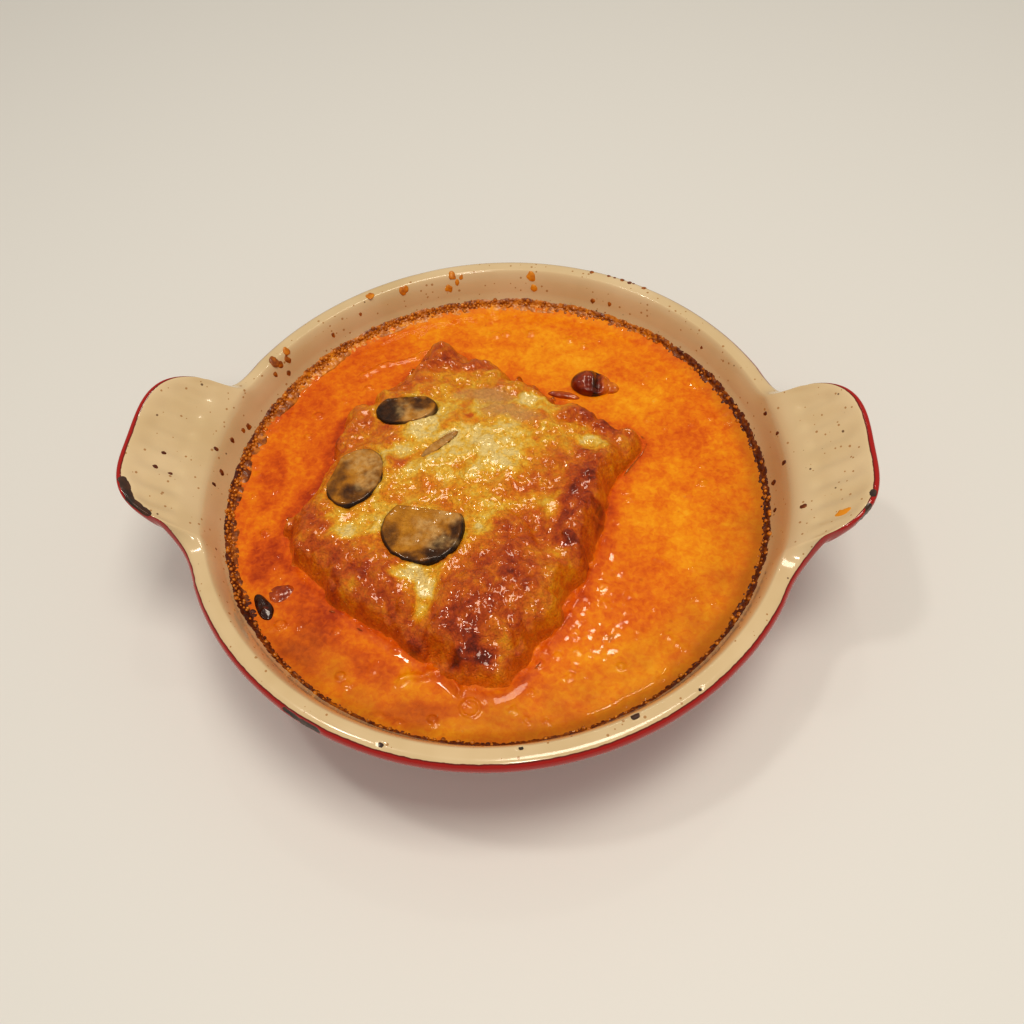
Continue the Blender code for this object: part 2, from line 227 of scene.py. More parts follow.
def skin(name, grid, material, fields=None, tube=False):
    """A closed mesh on a grid of points: its end rows are poles, or it closes on itself as a tube."""
    rows, count = grid.shape[:2]
    keep = np.ones((rows, count), dtype=bool)
    if not tube:
        keep[0, 1:] = keep[-1, 1:] = False
    index = np.cumsum(keep.ravel()).reshape(rows, count) - 1
    if tube:
        index = np.vstack([index, index[:1]])
    else:
        index[0], index[-1] = index[0, 0], index[-1, 0]
    nxt = np.roll(index, -1, axis=1)
    quads = np.stack([index[:-1], nxt[:-1], nxt[1:], index[1:]], axis=2)
    corners = quads.reshape(-1, 4)
    if tube:
        faces = corners.tolist()
    else:
        faces = quads[0][:, [0, 2, 3]].tolist() + quads[1:-1].reshape(-1, 4).tolist()
        faces += quads[-1][:, [0, 1, 2]].tolist()
    data = bpy.data.meshes.new(name)
    points = grid[keep]
    data.from_pydata(points.tolist(), [], faces)
    # a closed mesh whose faces point outwards has a volume above nothing
    a, b, c, d = (points[corners[:, k]] for k in range(4))
    if np.sum(np.einsum("ij,ij->i", a, np.cross(b, c) + np.cross(c, d))) < 0:
        data.flip_normals()
    for key, values in (fields or {}).items():
        layer = data.attributes.new(key, "FLOAT", "POINT")
        layer.data.foreach_set("value", values.reshape(rows, count)[keep].astype(np.float32))
    data.shade_smooth()
    data.materials.append(material)
    data.validate()
    piece = bpy.data.objects.new(name, data)
    bpy.context.scene.collection.objects.link(piece)
    return piece


def add_piece(piece, slot, *nodes):
    """Puts a piece on the root body, in place of the CAD nodes named. The slot argument is not used."""
    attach(piece, "root")
    if nodes:
        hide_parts(*nodes)


def colour(code):
    """The linear colour that a shader takes, from an sRGB hex value."""
    parts = [int(code[i:i + 2], 16) / 255 for i in (1, 3, 5)]
    return [c / 12.92 if c <= 0.04045 else ((c + 0.055) / 1.055) ** 2.4 for c in parts] + [1.0]


def add(tree, kind, inputs=None, stops=None, **settings):
    """Adds a node: its settings, its colour stops, and its inputs as values or other outputs."""
    node = tree.nodes.new(kind)
    for key, value in settings.items():
        setattr(node, key, value)
    for key, value in (inputs or {}).items():
        if isinstance(value, bpy.types.NodeSocket):
            tree.links.new(value, node.inputs[key])
        else:
            node.inputs[key].default_value = value
    if stops:
        while len(node.color_ramp.elements) < len(stops):
            node.color_ramp.elements.new(1)
        for element, (place, code) in zip(node.color_ramp.elements, stops):
            element.position = place
            element.color = colour(code)
    return node


def blank_material(name, *fields, **surface):
    """A material, its tree, its Principled shader, the Object coordinates, and the values that the
    mesh carries in attributes of these names."""
    material = bpy.data.materials.new(name)
    material.use_nodes = True
    tree = material.node_tree
    shader = tree.nodes["Principled BSDF"]
    for key, value in surface.items():
        shader.inputs[key.replace("_", " ")].default_value = value
    values = [add(tree, "ShaderNodeAttribute", attribute_name=field).outputs["Fac"]
              for field in fields]
    return material, tree, shader, add(tree, "ShaderNodeTexCoord").outputs["Object"], *values


def plug(tree, shader, base, normal):
    """Links a finished colour and relief to the shader."""
    tree.links.new(base, shader.inputs["Base Color"])
    tree.links.new(normal, shader.inputs["Normal"])


def per(millimetres):
    """The scale of a texture node whose pattern repeats about every so many millimetres."""
    return 1 / (millimetres * MM)


# ---------------------------------------------------------------- materials

def enamel():
    """Vitreous enamel fired on cast iron: a hard clear gloss over a slightly wavy coat. Cream
    inside and over the rim, red below it, dark iron where it has chipped, and baked-on specks."""
    material, tree, shader, place, outside, chipped, shade_and_stain = blank_material(
        "vitreous_enamel_on_cast_iron", "outside", "chipped", "shade_and_stain", Roughness=0.16, IOR=1.5,
        Coat_Weight=0.4, Coat_Roughness=0.05)
    broad = add(tree, "ShaderNodeTexNoise", {"Vector": place, "Scale": per(26), "Detail": 3.0})
    fine = add(tree, "ShaderNodeTexNoise", {"Vector": place, "Scale": per(2.6), "Detail": 3.0})
    cream = add(tree, "ShaderNodeValToRGB", {"Fac": broad.outputs["Fac"]},
                stops=[(0.3, "#CEB890"), (0.7, "#DECAA6")])
    # tan mixed in over the inner wall, strongest on the right inner wall, where it is painted shade
    patchy = add(tree, "ShaderNodeMath", {0: shade_and_stain, 1: broad.outputs["Fac"]},
                 operation="MULTIPLY")
    tan = add(tree, "ShaderNodeMix", {0: patchy.outputs[0], 6: cream.outputs[0],
                                      7: colour("#A87038")}, data_type="RGBA")
    # pale and dark specks of baked sauce, up to about 1 mm across
    base = tan.outputs[2]
    for spacing, widest, share, shade in ((1.9, 0.26, 0.35, "#A87A48"), (4.6, 0.13, 0.4, "#4E2A10")):
        dots = add(tree, "ShaderNodeTexVoronoi", {"Vector": place, "Scale": per(spacing)})
        pick = add(tree, "ShaderNodeSeparateColor", {0: dots.outputs["Color"]})
        size = add(tree, "ShaderNodeMapRange", {0: pick.outputs[0], 1: share, 2: 1.0, 3: 0.0,
                                                4: widest})
        edge = add(tree, "ShaderNodeMath", {0: size.outputs[0], 1: dots.outputs["Distance"]},
                   operation="SUBTRACT")
        mask = add(tree, "ShaderNodeMapRange", {0: edge.outputs[0], 1: 0.0, 2: 0.035, 3: 0.0,
                                                4: 0.85})
        base = add(tree, "ShaderNodeMix", {0: mask.outputs[0], 6: base, 7: colour(shade)},
                   data_type="RGBA").outputs[2]
    # the red coat starts under the rim's edge, with a darker line where the two coats meet
    wander = add(tree, "ShaderNodeMath", {0: fine.outputs["Fac"], 1: 0.07, 2: outside},
                 operation="MULTIPLY_ADD")
    red = add(tree, "ShaderNodeValToRGB", {"Fac": wander.outputs[0]},
              stops=[(0.20, "#5A140E"), (0.26, "#A81610")])
    over = add(tree, "ShaderNodeMapRange", {0: wander.outputs[0], 1: 0.18, 2: 0.195})
    coats = add(tree, "ShaderNodeMix", {0: over.outputs[0], 6: base, 7: red.outputs[0]},
                data_type="RGBA")
    ragged = add(tree, "ShaderNodeMath", {0: fine.outputs["Fac"], 1: 0.9, 2: chipped},
                 operation="MULTIPLY_ADD")
    bare = add(tree, "ShaderNodeMapRange", {0: ragged.outputs[0], 1: 0.9, 2: 0.96})
    iron = add(tree, "ShaderNodeValToRGB", {"Fac": fine.outputs["Fac"]},
               stops=[(0.35, "#1C1310"), (0.7, "#4E2C1A")])
    full = add(tree, "ShaderNodeMix", {0: bare.outputs[0], 6: coats.outputs[2],
                                       7: iron.outputs[0]}, data_type="RGBA")
    dull = add(tree, "ShaderNodeMapRange", {0: bare.outputs[0], 3: 0.16, 4: 0.6})
    wavy = add(tree, "ShaderNodeTexNoise", {"Vector": place, "Scale": per(5.5), "Detail": 2.0})
    bump = add(tree, "ShaderNodeBump", {"Height": wavy.outputs["Fac"], "Strength": 0.35,
                                        "Distance": 0.12 * MM})
    tree.links.new(dull.outputs[0], shader.inputs["Roughness"])
    plug(tree, shader, full.outputs[2], bump.outputs[0])
    return material


def tomato_cream():
    """Tomato cream sauce, split in the oven: orange oil over yellow curds, with a wet gloss."""
    material, tree, shader, place, tone, olive = blank_material(
        "baked_tomato_cream_sauce", "tone", "olive", Roughness=0.45, IOR=1.34, Coat_Weight=0.8,
        Coat_Roughness=0.05, Coat_IOR=1.36, Specular_IOR_Level=0.3)
    curd = add(tree, "ShaderNodeTexNoise", {"Vector": place, "Scale": per(4.6), "Detail": 5.0,
                                            "Roughness": 0.6})
    grains = add(tree, "ShaderNodeTexNoise", {"Vector": place, "Scale": per(1.7), "Detail": 3.0,
                                              "Distortion": 0.7})
    both = add(tree, "ShaderNodeMath", {0: curd.outputs["Fac"], 1: grains.outputs["Fac"]},
               operation="ADD")
    shifted = add(tree, "ShaderNodeMath", {0: both.outputs[0], 1: 0.44, 2: tone},
                  operation="MULTIPLY_ADD")
    body = add(tree, "ShaderNodeValToRGB", {"Fac": shifted.outputs[0]}, stops=[
        (0.22, "#F2B42E"), (0.38, "#EC9E0C"), (0.50, "#E58A03"), (0.62, "#DC7302"),
        (0.76, "#CC5A02"), (0.95, "#A63802")])
    pits = add(tree, "ShaderNodeTexVoronoi", {"Vector": place, "Scale": per(4.2)})
    pick = add(tree, "ShaderNodeSeparateColor", {0: pits.outputs["Color"]})
    size = add(tree, "ShaderNodeMapRange", {0: pick.outputs[0], 1: 0.6, 2: 1.0, 3: 0.0, 4: 0.2})
    edge = add(tree, "ShaderNodeMath", {0: size.outputs[0], 1: pits.outputs["Distance"]},
               operation="SUBTRACT")
    pit = add(tree, "ShaderNodeMapRange", {0: edge.outputs[0], 1: -0.02, 2: 0.1, 3: 0.0, 4: 0.5})
    dotted = add(tree, "ShaderNodeMix", {0: pit.outputs[0], 6: body.outputs[0],
                                         7: colour("#C05204")}, data_type="RGBA")
    banded = add(tree, "ShaderNodeMix", {0: olive, 6: dotted.outputs[2], 7: colour("#A8660A")},
                 data_type="RGBA")
    grain = add(tree, "ShaderNodeTexNoise", {"Vector": place, "Scale": per(1.6), "Detail": 3.0})
    bump = add(tree, "ShaderNodeBump", {"Height": grain.outputs["Fac"], "Strength": 0.4,
                                        "Distance": 0.2 * MM})
    plug(tree, shader, banded.outputs[2], bump.outputs[0])
    return material


def melted_cheese():
    """Mozzarella and bechamel, melted and browned: cream and gold where it has run, blistered and
    brown where it has fried, and glossy with fat, which glitters on the fine wrinkles."""
    material, tree, shader, place, tone, oil, ham = blank_material(
        "browned_melted_cheese", "tone", "oil", "ham", Roughness=0.45, IOR=1.4, Coat_Weight=0.9,
        Coat_Roughness=0.1, Specular_IOR_Level=0.3)
    mottle = add(tree, "ShaderNodeTexNoise", {"Vector": place, "Scale": per(2.6), "Detail": 6.0,
                                              "Roughness": 0.68, "Distortion": 0.5})
    spread = add(tree, "ShaderNodeMapRange", {0: mottle.outputs["Fac"], 1: 0.25, 2: 0.75,
                                              3: -0.18, 4: 0.18})
    shade = add(tree, "ShaderNodeMath", {0: tone, 1: spread.outputs[0]}, operation="ADD")
    body = add(tree, "ShaderNodeValToRGB", {"Fac": shade.outputs[0]}, stops=[
        (0.0, "#F2D88E"), (0.12, "#EEC040"), (0.24, "#E8A012"), (0.38, "#DC7C04"),
        (0.52, "#CA5E04"), (0.66, "#AC4004"), (0.80, "#7C2404"), (0.97, "#3C0F04")])
    meat = add(tree, "ShaderNodeMix", {0: ham, 6: body.outputs[0], 7: colour("#D09A5C")},
               data_type="RGBA")
    wet = add(tree, "ShaderNodeMix", {0: oil, 6: meat.outputs[2], 7: colour("#E07404")},
              data_type="RGBA")
    wrinkle = add(tree, "ShaderNodeTexNoise", {"Vector": place, "Scale": per(1.3), "Detail": 3.0,
                                               "Roughness": 0.65, "Distortion": 1.4})
    bump = add(tree, "ShaderNodeBump", {"Height": wrinkle.outputs["Fac"], "Strength": 1.0,
                                        "Distance": 1.0 * MM})
    plug(tree, shader, wet.outputs[2], bump.outputs[0])
    return material


def burnt_skin(name, lump, uneven, stops, strength, depth, **surface):
    """A skin browned in lumps of this size, darker where its burnt attribute is higher."""
    material, tree, shader, place, burnt = blank_material(name, "burnt", **surface)
    mottle = add(tree, "ShaderNodeTexNoise", {"Vector": place, "Scale": per(lump), "Detail": 4.0})
    shade = add(tree, "ShaderNodeMath", {0: mottle.outputs["Fac"], 1: uneven, 2: burnt},
                operation="MULTIPLY_ADD")
    body = add(tree, "ShaderNodeValToRGB", {"Fac": shade.outputs[0]}, stops=stops)
    bump = add(tree, "ShaderNodeBump", {"Height": mottle.outputs["Fac"], "Strength": strength,
                                        "Distance": depth * MM})
    plug(tree, shader, body.outputs[0], bump.outputs[0])
    return material


def baked_crust():
    """Sauce baked dry on the hot wall: granular, from ochre to burnt black-brown, half matt."""
    return burnt_skin(
        "baked_sauce_crust", 1.6, 0.5, [(0.30, "#E0941A"), (0.45, "#C07212"), (0.58, "#8A480C"),
                                        (0.72, "#5A2207"), (1.0, "#300F06")],
        0.6, 0.3, Roughness=0.4, IOR=1.45, Coat_Weight=0.25, Coat_Roughness=0.15)


def fried_cheese():
    """Cheese fried dark at the sauce's edge: red-brown, hard-skinned and shiny with fat."""
    return burnt_skin(
        "fried_cheese_skin", 2.2, 0.6, [(0.2, "#D9851A"), (0.45, "#B4500A"), (0.7, "#7E2506"),
                                        (1.0, "#2E0C04")],
        0.5, 0.4, Roughness=0.25, IOR=1.45, Coat_Weight=0.6, Coat_Roughness=0.08)


def cooked_mushroom():
    """A cooked mushroom slice: olive-gold and smooth where cut, dark brown skin and gills, and a
    thin milky film of cheese drawn over part of it."""
    material, tree, shader, place, dark, film = blank_material(
        "cooked_mushroom_slice", "dark", "film", Roughness=0.4, IOR=1.4, Coat_Weight=0.5,
        Coat_Roughness=0.08, Specular_IOR_Level=0.3)
    mottle = add(tree, "ShaderNodeTexNoise", {"Vector": place, "Scale": per(3.0), "Detail": 5.0})
    shade = add(tree, "ShaderNodeMath", {0: mottle.outputs["Fac"], 1: 0.4, 2: dark},
                operation="MULTIPLY_ADD")
    flesh = add(tree, "ShaderNodeValToRGB", {"Fac": shade.outputs[0]}, stops=[
        (0.14, "#C48A26"), (0.36, "#AC7214"), (0.54, "#845410"), (0.74, "#4E2C0A"),
        (0.95, "#231106")])
    coated = add(tree, "ShaderNodeMix", {0: film, 6: flesh.outputs[0], 7: colour("#D9B47A")},
                 data_type="RGBA")
    wrinkle = add(tree, "ShaderNodeTexNoise", {"Vector": place, "Scale": per(1.2), "Detail": 3.0,
                                               "Roughness": 0.6, "Distortion": 1.2})
    bump = add(tree, "ShaderNodeBump", {"Height": wrinkle.outputs["Fac"], "Strength": 0.9,
                                        "Distance": 0.7 * MM})
    plug(tree, shader, coated.outputs[2], bump.outputs[0])
    return material


# ---------------------------------------------------------------- the dish

def ear_outline(steps=400):
    """Half of an ear's outline in plan, from the middle of its outer edge to the round rim."""
    def side(t):
        reach = EAR_ROOT + (EAR_REACH - EAR_ROOT) * abs(math.cos(t)) ** (2 / EAR_POWER)
        return (reach, EAR_HALF_WIDTH * math.sin(t) ** (2 / EAR_POWER))

    points = [side(math.pi / 2 * i / steps) for i in range(steps)]
    points = [p for p in points if p[0] >= NECK_REACH]
    start = np.array(points[-1])
    end = np.array((math.cos(NECK_ANGLE), math.sin(NECK_ANGLE))) * RIM_RADIUS
    corner = np.array((math.sqrt(RIM_RADIUS ** 2 - start[1] ** 2), start[1]))
    t = np.linspace(0, 1, 41)[1:, None]
    neck = start * (1 - t) ** 2 + corner * 2 * t * (1 - t) + end * t * t
    return np.concatenate([points, neck])


EAR = ear_outline()
EAR_LENGTHS = np.concatenate([[0], np.cumsum(np.linalg.norm(np.diff(EAR, axis=0), axis=1))])
TIP_LENGTH = EAR_LENGTHS[np.argmax(EAR[:, 1] >= TIP_HALF_WIDTH)]


def rim_plan(angle):
    """The dish's outline in plan, for the columns that start on the inner wall at these angles."""
    away = np.arctan2(np.sin(angle), np.cos(angle))
    side = np.where(np.abs(away) <= math.pi / 2, 1, -1)
    off = np.where(side == 1, np.abs(away), math.pi - np.abs(away))
    wanted = np.where(off <= TIP_ANGLE, TIP_LENGTH * off / TIP_ANGLE, mix(
        TIP_LENGTH, EAR_LENGTHS[-1], (off - TIP_ANGLE) / (NECK_ANGLE - TIP_ANGLE)))
    ear = np.stack([np.interp(wanted, EAR_LENGTHS, EAR[:, k]) for k in (0, 1)], axis=1)
    ear = np.stack([ear[:, 0] * side, np.copysign(ear[:, 1], away)], axis=1)
    rim = np.stack([np.cos(angle), np.sin(angle)], axis=1) * RIM_RADIUS
    return np.where((off < NECK_ANGLE)[:, None], ear, rim)


def flute(angle, radius, edge):
    """Depth of the grip flutes: they follow the columns and fade towards the ear's border."""
    off = np.abs(np.arctan2(np.sin(angle), np.cos(angle)))
    off = np.minimum(off, math.pi - off)
    wave = 0.5 + 0.5 * np.cos(math.pi * FLUTES * off / TIP_ANGLE)
    inner = smooth(FLUTE_START, FLUTE_START + FLUTE_FADE, radius)
    outer = smooth(FLUTE_BORDER - FLUTE_FADE, FLUTE_BORDER, edge)
    return FLUTE_DEPTH * wave * inner * outer * smooth(TIP_ANGLE * 1.2, TIP_ANGLE, off)


def flange(angle, edge, top=True):
    """Points this far inside the outline, on the top or the underside of the rim or ear."""
    outline = rim_plan(angle)
    start = np.stack([np.cos(angle), np.sin(angle)], axis=1) * WALL_TOP[0]
    span = np.linalg.norm(outline - start, axis=1)
    roll = RIM_THICKNESS / 2
    raised = smooth(0, EAR_BLEND, np.linalg.norm(outline, axis=1) - RIM_RADIUS)
    plan = outline + (start - outline) * (edge / span)[:, None]
    radius = np.linalg.norm(plan, axis=1)
    bow = EAR_BOW * (plan[:, 1] / EAR_HALF_WIDTH) ** 2
    crest = RIM_HEIGHT + raised * (EAR_SLOPE * (radius - CREST_RADIUS) + bow)
    fall = roll - np.sqrt(np.maximum(0, roll ** 2 - np.maximum(0, roll - edge) ** 2))
    if not top:
        return np.column_stack([plan, crest - RIM_THICKNESS + fall])
    turn_start = CREST_RADIUS - SHOULDER_WIDTH
    bend = np.maximum(0, turn_start - radius) / (turn_start - WALL_TOP[0])
    fall = fall + (crest - WALL_TOP[1]) * bend ** 1.6
    return np.column_stack([plan, crest - fall - flute(angle, radius, edge)])


def column_angles(count):
    """Column angles that lie evenly along the dish's outline, ears and all."""
    fine = np.linspace(0, math.tau, 7200, endpoint=False)
    plan = rim_plan(fine)
    step = np.linalg.norm(np.roll(plan, -1, axis=0) - plan, axis=1)
    along = np.concatenate([[0], np.cumsum(step)])
    wanted = np.linspace(0, along[-1], count, endpoint=False)
    return np.interp(wanted, along, np.append(fine, math.tau))


def floor_curve(share):
    """Radius and height on the curve from the floor (share 0) up to the wall (share 1)."""
    turn = share * math.pi / 2
    radius = mix(FLOOR_RADIUS, WALL_ROOT[0], math.sin(turn) ** 0.9)
    return radius, mix(FLOOR_HEIGHT, WALL_ROOT[1], 1 - math.cos(turn))


def wall_radius(height):
    """Radius of the dish's straight inner wall at a height."""
    t = (height - WALL_ROOT[1]) / (WALL_TOP[1] - WALL_ROOT[1])
    return mix(WALL_ROOT[0], WALL_TOP[0], t)


DISH_COLUMNS = 860
CHIP_DEPTH = 0.35 * MM
COAT_WAVE = 0.05 * MM
CHIPS = [                   # a chip in the enamel: one end, other end, half-width; mm
    ((-108.6, -17.5, 58.4), (-105.0, -23.6, 58.0), 1.5),
    ((-104.6, -24.2, 57.6), (-99.5, -26.6, 55.0), 1.2), ((107.6, -21.4, 58.2), (105.2, -24.8, 55.4), 1.3),
    ((109.0, -17.0, 59.2), (109.0, -17.8, 59.2), 1.1), ((-50.3, -81.8, 43.4), (-46.0, -84.4, 43.2), 1.0),
    ((-45.0, -85.0, 43.0), (-41.0, -87.0, 43.0), 1.3), ((42.6, -80.4, 44.9), (43.2, -80.0, 44.9), 0.9),
    ((13.5, -90.0, 44.9), (13.9, -90.0, 44.9), 0.6), ((-22.8, -90.7, 45.0), (-22.4, -90.8, 45.0), 0.7),
    ((60.0, -72.2, 44.8), (60.3, -72.0, 44.8), 0.6),
]


def ring_of(angle, radius, height):
    """A level ring of points round the dish's middle."""
    return np.column_stack([np.cos(angle) * radius, np.sin(angle) * radius,
                            np.full(len(angle), height)])


def make_dish(material):
    """The casting, from the middle of its floor up the wall, over the rim and ears and down under."""
    angle = column_angles(DISH_COLUMNS)
    outline = rim_plan(angle)
    span = np.linalg.norm(outline - ring_of(angle, WALL_TOP[0], 0)[:, :2], axis=1)
    under = np.linalg.norm(outline, axis=1) - CREST_RADIUS
    roll = RIM_THICKNESS / 2
    zero = np.zeros(len(angle))
    rows = [ring_of(angle, 0, FLOOR_HEIGHT), ring_of(angle, 30 * MM, FLOOR_HEIGHT)]
    rows += [ring_of(angle, *floor_curve(i / 6)) for i in range(6)]
    rows += [ring_of(angle, mix(WALL_ROOT[0], WALL_TOP[0], t), mix(WALL_ROOT[1], WALL_TOP[1], t))
             for t in np.arange(10) / 10]
    rows += [flange(angle, mix(roll, span, t)) for t in np.linspace(1, 0, 25)]
    turns = [math.pi / 2 * i / 7 for i in range(7)]
    rows += [flange(angle, zero + roll * (1 - math.cos(t))) for t in reversed(turns[1:])]
    lip = len(rows)
    rows += [flange(angle, zero + roll * (1 - math.cos(t)), False) for t in turns]
    rows += [flange(angle, mix(roll, under, t), False) for t in (0, 0.15, 0.3, 0.45, 0.6)]
    foot = (WALL_ROOT[0] + WALL_THICKNESS, WALL_ROOT[1])
    top = (WALL_TOP[0] + WALL_THICKNESS, WALL_TOP[1])
    rows += [ring_of(angle, mix(top[0], foot[0], t), mix(top[1], foot[1], t))
             for t in np.linspace(0, 1, 7)]
    for i in range(1, 7):
        turn = i / 6 * math.pi / 2
        rows.append(ring_of(angle, mix(foot[0], BASE_RADIUS, 1 - math.cos(turn)),
                            mix(foot[1], 0, math.sin(turn))))
    rows += [ring_of(angle, 30 * MM, 0), ring_of(angle, 0, 0)]
    grid = np.array(rows)
    step = np.linalg.norm(np.diff(grid, axis=0), axis=2) / MM
    down = np.concatenate([np.zeros((1, len(angle))), np.cumsum(step, axis=0)])
    outside = (down - down[lip]) / 8 + 0.5          # half at the outermost edge, 1 at 4 mm below it
    points = grid.reshape(-1, 3)
    chipped = np.zeros(len(points))
    for first, second, reach in CHIPS:
        first, second = np.array(first) * MM, np.array(second) * MM
        along = second - first
        t = np.clip((points - first) @ along / (along @ along), 0, 1)
        gap = np.linalg.norm(points - first - along * t[:, None], axis=1) / (reach * MM)
        chipped = np.maximum(chipped, smooth(1.7, 0.2, gap))
    # the coat is wavy and chipped only above the foot, inside and as far as just under the rim
    depth = CHIP_DEPTH * smooth(0.35, 0.65, chipped) + COAT_WAVE * lumps(points, 9 * MM, 5)
    height = points[:, 2]
    worn = (height > 10 * MM) & (np.arange(len(points)) < (lip + 12) * len(angle))
    points = points - grid_normals(grid).reshape(-1, 3) * (depth * worn)[:, None]
    # a tan tint on the inner wall, a little more low down near the sauce, and much more on the right inner
    # wall, which is painted shade where that wall faces away from the light
    radius = np.hypot(points[:, 0], points[:, 1])
    shade_and_stain = smooth(CREST_RADIUS + 6 * MM, WALL_TOP[0], radius) * 0.12
    shade_and_stain += smooth(41 * MM, 34 * MM, height) * 0.1
    shade_and_stain += 0.9 * smooth(80 * MM, 90 * MM, points[:, 0]) * smooth(95 * MM, 88 * MM, radius)
    fields = {"outside": outside.ravel(), "chipped": chipped, "shade_and_stain": shade_and_stain}
    piece = skin("gratin_dish_enamelled", points.reshape(grid.shape), material, fields)
    add_piece(piece, "enamel", "gratin_dish")


# ---------------------------------------------------------------- the lasagna

COARSE_OUTLINE = closed_curve(PORTION_OUTLINE, 128)


def portion_gap(x, y):
    """Distance in plan to the portion's outline."""
    ring = [tuple(p / MM) for p in COARSE_OUTLINE]
    return line_gap(x, y, ring + ring[:1])


def humps(x, y):
    """The broad rises and hollows of the portion's top."""
    total = np.zeros(len(x))
    for *oval, height in HUMPS:
        u, v = in_oval(x, y, *oval)
        total += height * MM * np.exp(-(u * u + v * v) * 1.4)
    return total


def portion_height(x, y, inset=0):
    """Height of the portion's top. Its near and left sides slope off more gently than the rest."""
    near_left = (PORTION_CENTRE[0] - x) * 0.55 + (PORTION_CENTRE[1] - y) * 0.83
    shoulder = SHOULDER * (1 + 0.5 * smooth(0, 40 * MM, near_left))
    t = np.clip((portion_gap(x, y) - inset) / shoulder, 0, 1)
    rise = (1 - (1 - t) ** 2.4) ** 0.85
    return SAUCE_LEVEL - 0.5 * MM + (PORTION_RISE + humps(x, y)) * rise


BROWNED = [                 # x, y, half-length, half-width, turn, strength
    (1.5, -46, 21, 15, 75, 1.0), (-2.5, -60, 10, 4.5, 10, 1.1), (28, -17, 19, 8.5, 78, 0.95),
    (19, 0, 11, 9, 0, 0.62), (34, 24, 13, 4.5, -14, 0.85), (24, 27, 6, 5, 0, 0.85),
    (-40, -41, 19, 12, -30, 0.88), (-58, -23, 9, 8, 20, 0.92), (-31, -32, 9, 8, 0, 0.66),
    (-22.5, -57, 7, 6, 0, 1.0), (-49, 15, 10, 5, 55, 0.75), (-37, 13, 7, 5, 20, 0.6),
    (-21, 51, 13, 6.5, -25, 0.72), (-6, 49, 7, 4.5, -30, 0.78), (13, 38, 5, 3, -20, 0.95),
    (-31, 38, 9, 5, 25, 0.62), (10, -22, 10, 9, 0, 0.68), (-31.5, 3.5, 4.5, 2.5, -20, 0.62),
    (-52, -37, 10, 8, -30, 0.8), (30, 5, 6, 9, 0, 0.75),
]
DARK_SPOTS = [
    (24, -24.3, 3.2, 2.6, 0, 1.0), (-21.5, -59.5, 3.2, 2.4, 0, 1.0), (33.4, -13.3, 4.5, 1.8, 80, 0.9),
    (30.2, -1.3, 3.2, 2.2, 0, 0.8), (-62, -20, 4, 3, 0, 0.8), (-9, 21.1, 1.3, 1.0, 0, 1.2),
    (-53.7, 14.7, 1.6, 4, 20, 0.9), (9.6, 35.7, 1.2, 1.0, 0, 1.0), (-3, -62, 8, 2.6, 10, 0.7),
    (33, 27, 7, 1.2, -14, 0.7), (22, 31, 3, 1.8, 0, 0.8),
]
CREAM_SPOTS = [
    (-3, 11, 17, 8, 12, 1.0), (30, 13, 6, 2.8, -20, 1.0), (-38.9, -22.5, 8, 3.6, 10, 0.9),
    (-16.5, -43.8, 3.2, 8, 0, 0.95), (-23, -37.3, 5, 2.6, 0, 0.9), (14, 28.5, 12, 3, -8, 0.95),
    (-20.4, 20.9, 5, 12, -30, 0.95), (-4.7, 3, 20, 6, 8, 0.75), (21.4, 33.2, 5, 2.2, 0, 0.9),
    (-26, 9, 9, 3.5, 15, 0.8), (-1, -19, 3, 5, 0, 0.6), (5, -14, 6, 4, 0, 0.5),
]
HAM_SPOTS = [(-3.2, 30.6, 8, 4, -10, 1.0), (4, 23.4, 9, 3, -10, 0.9), (-12, 32, 4, 3, 0, 0.7)]
YELLOW_OIL = [(-19, -6.1, 7, 2.6, 0, 0.9), (2.7, -5.6, 5, 2.4, 0, 0.8), (-9, 19, 3, 2, 0, 0.7),
              (-31, 3, 4, 2.5, -20, 0.7), (-27, -10, 5, 2, 20, 0.6)]
WET_FLANK = [(-46, -52, 14, 4, -35, 1.0), (17, -46, 19, 3.0, 69, 0.8), (-1, -66, 7, 4, 0, 0.8),
             (-11, -60.5, 5, 3.5, 0, 0.9), (40, 9.4, 5, 6, 0, 0.8), (-62, -33, 5, 5, 0, 0.8)]


FOLDS = [                   # ridges and creases in the draped cheese: line, width, height; mm
    ([(12, -62), (19, -48), (21, -34)], 1.7, 1.4), ([(17, -62), (23, -46), (25, -34)], 1.9, -1.1),
    ([(-35, 41), (-27, 46), (-14, 44), (0, 40), (14, 32)], 1.3, 0.9),
    ([(24, 30), (34, 27), (44, 20)], 1.5, 1.2), ([(20, 23), (31, 19), (41, 13)], 2.0, -1.2),
    ([(-50, 20), (-54, 8), (-56, -6)], 1.6, 0.9), ([(-22, 1), (-12, 6), (0, 12)], 1.2, 0.6),
    ([(-6, 18), (6, 22), (16, 20)], 1.3, 0.6),
    ([(-62, -24), (-50, -34), (-38, -45), (-27, -57)], 2.0, 1.2),
    ([(-44, -28), (-34, -40), (-24, -50)], 1.6, -0.9), ([(6, -14), (14, -20), (17, -30)], 1.8, -1.0),
    ([(-14, 38), (0, 33), (12, 27)], 1.4, -0.7), ([(34, 4), (35, -10), (32, -24)], 1.6, 1.0),
]
PORTION_COLUMNS, PORTION_ROWS = 780, 118
SAUCE_LAP = 3.0 * MM        # how far the sauce laps over the portion's edge
SLICE_DENT = 1.9 * MM
SLICE_LIP = 0.7 * MM


def slice_share(x, y, spec):
    """How far out a point lies in a slice's oval: 1 on its outline."""
    u, v = in_oval(x, y, *spec[:5])
    return np.hypot(u, np.where(v > 0, v / (1 - spec[6]), v))


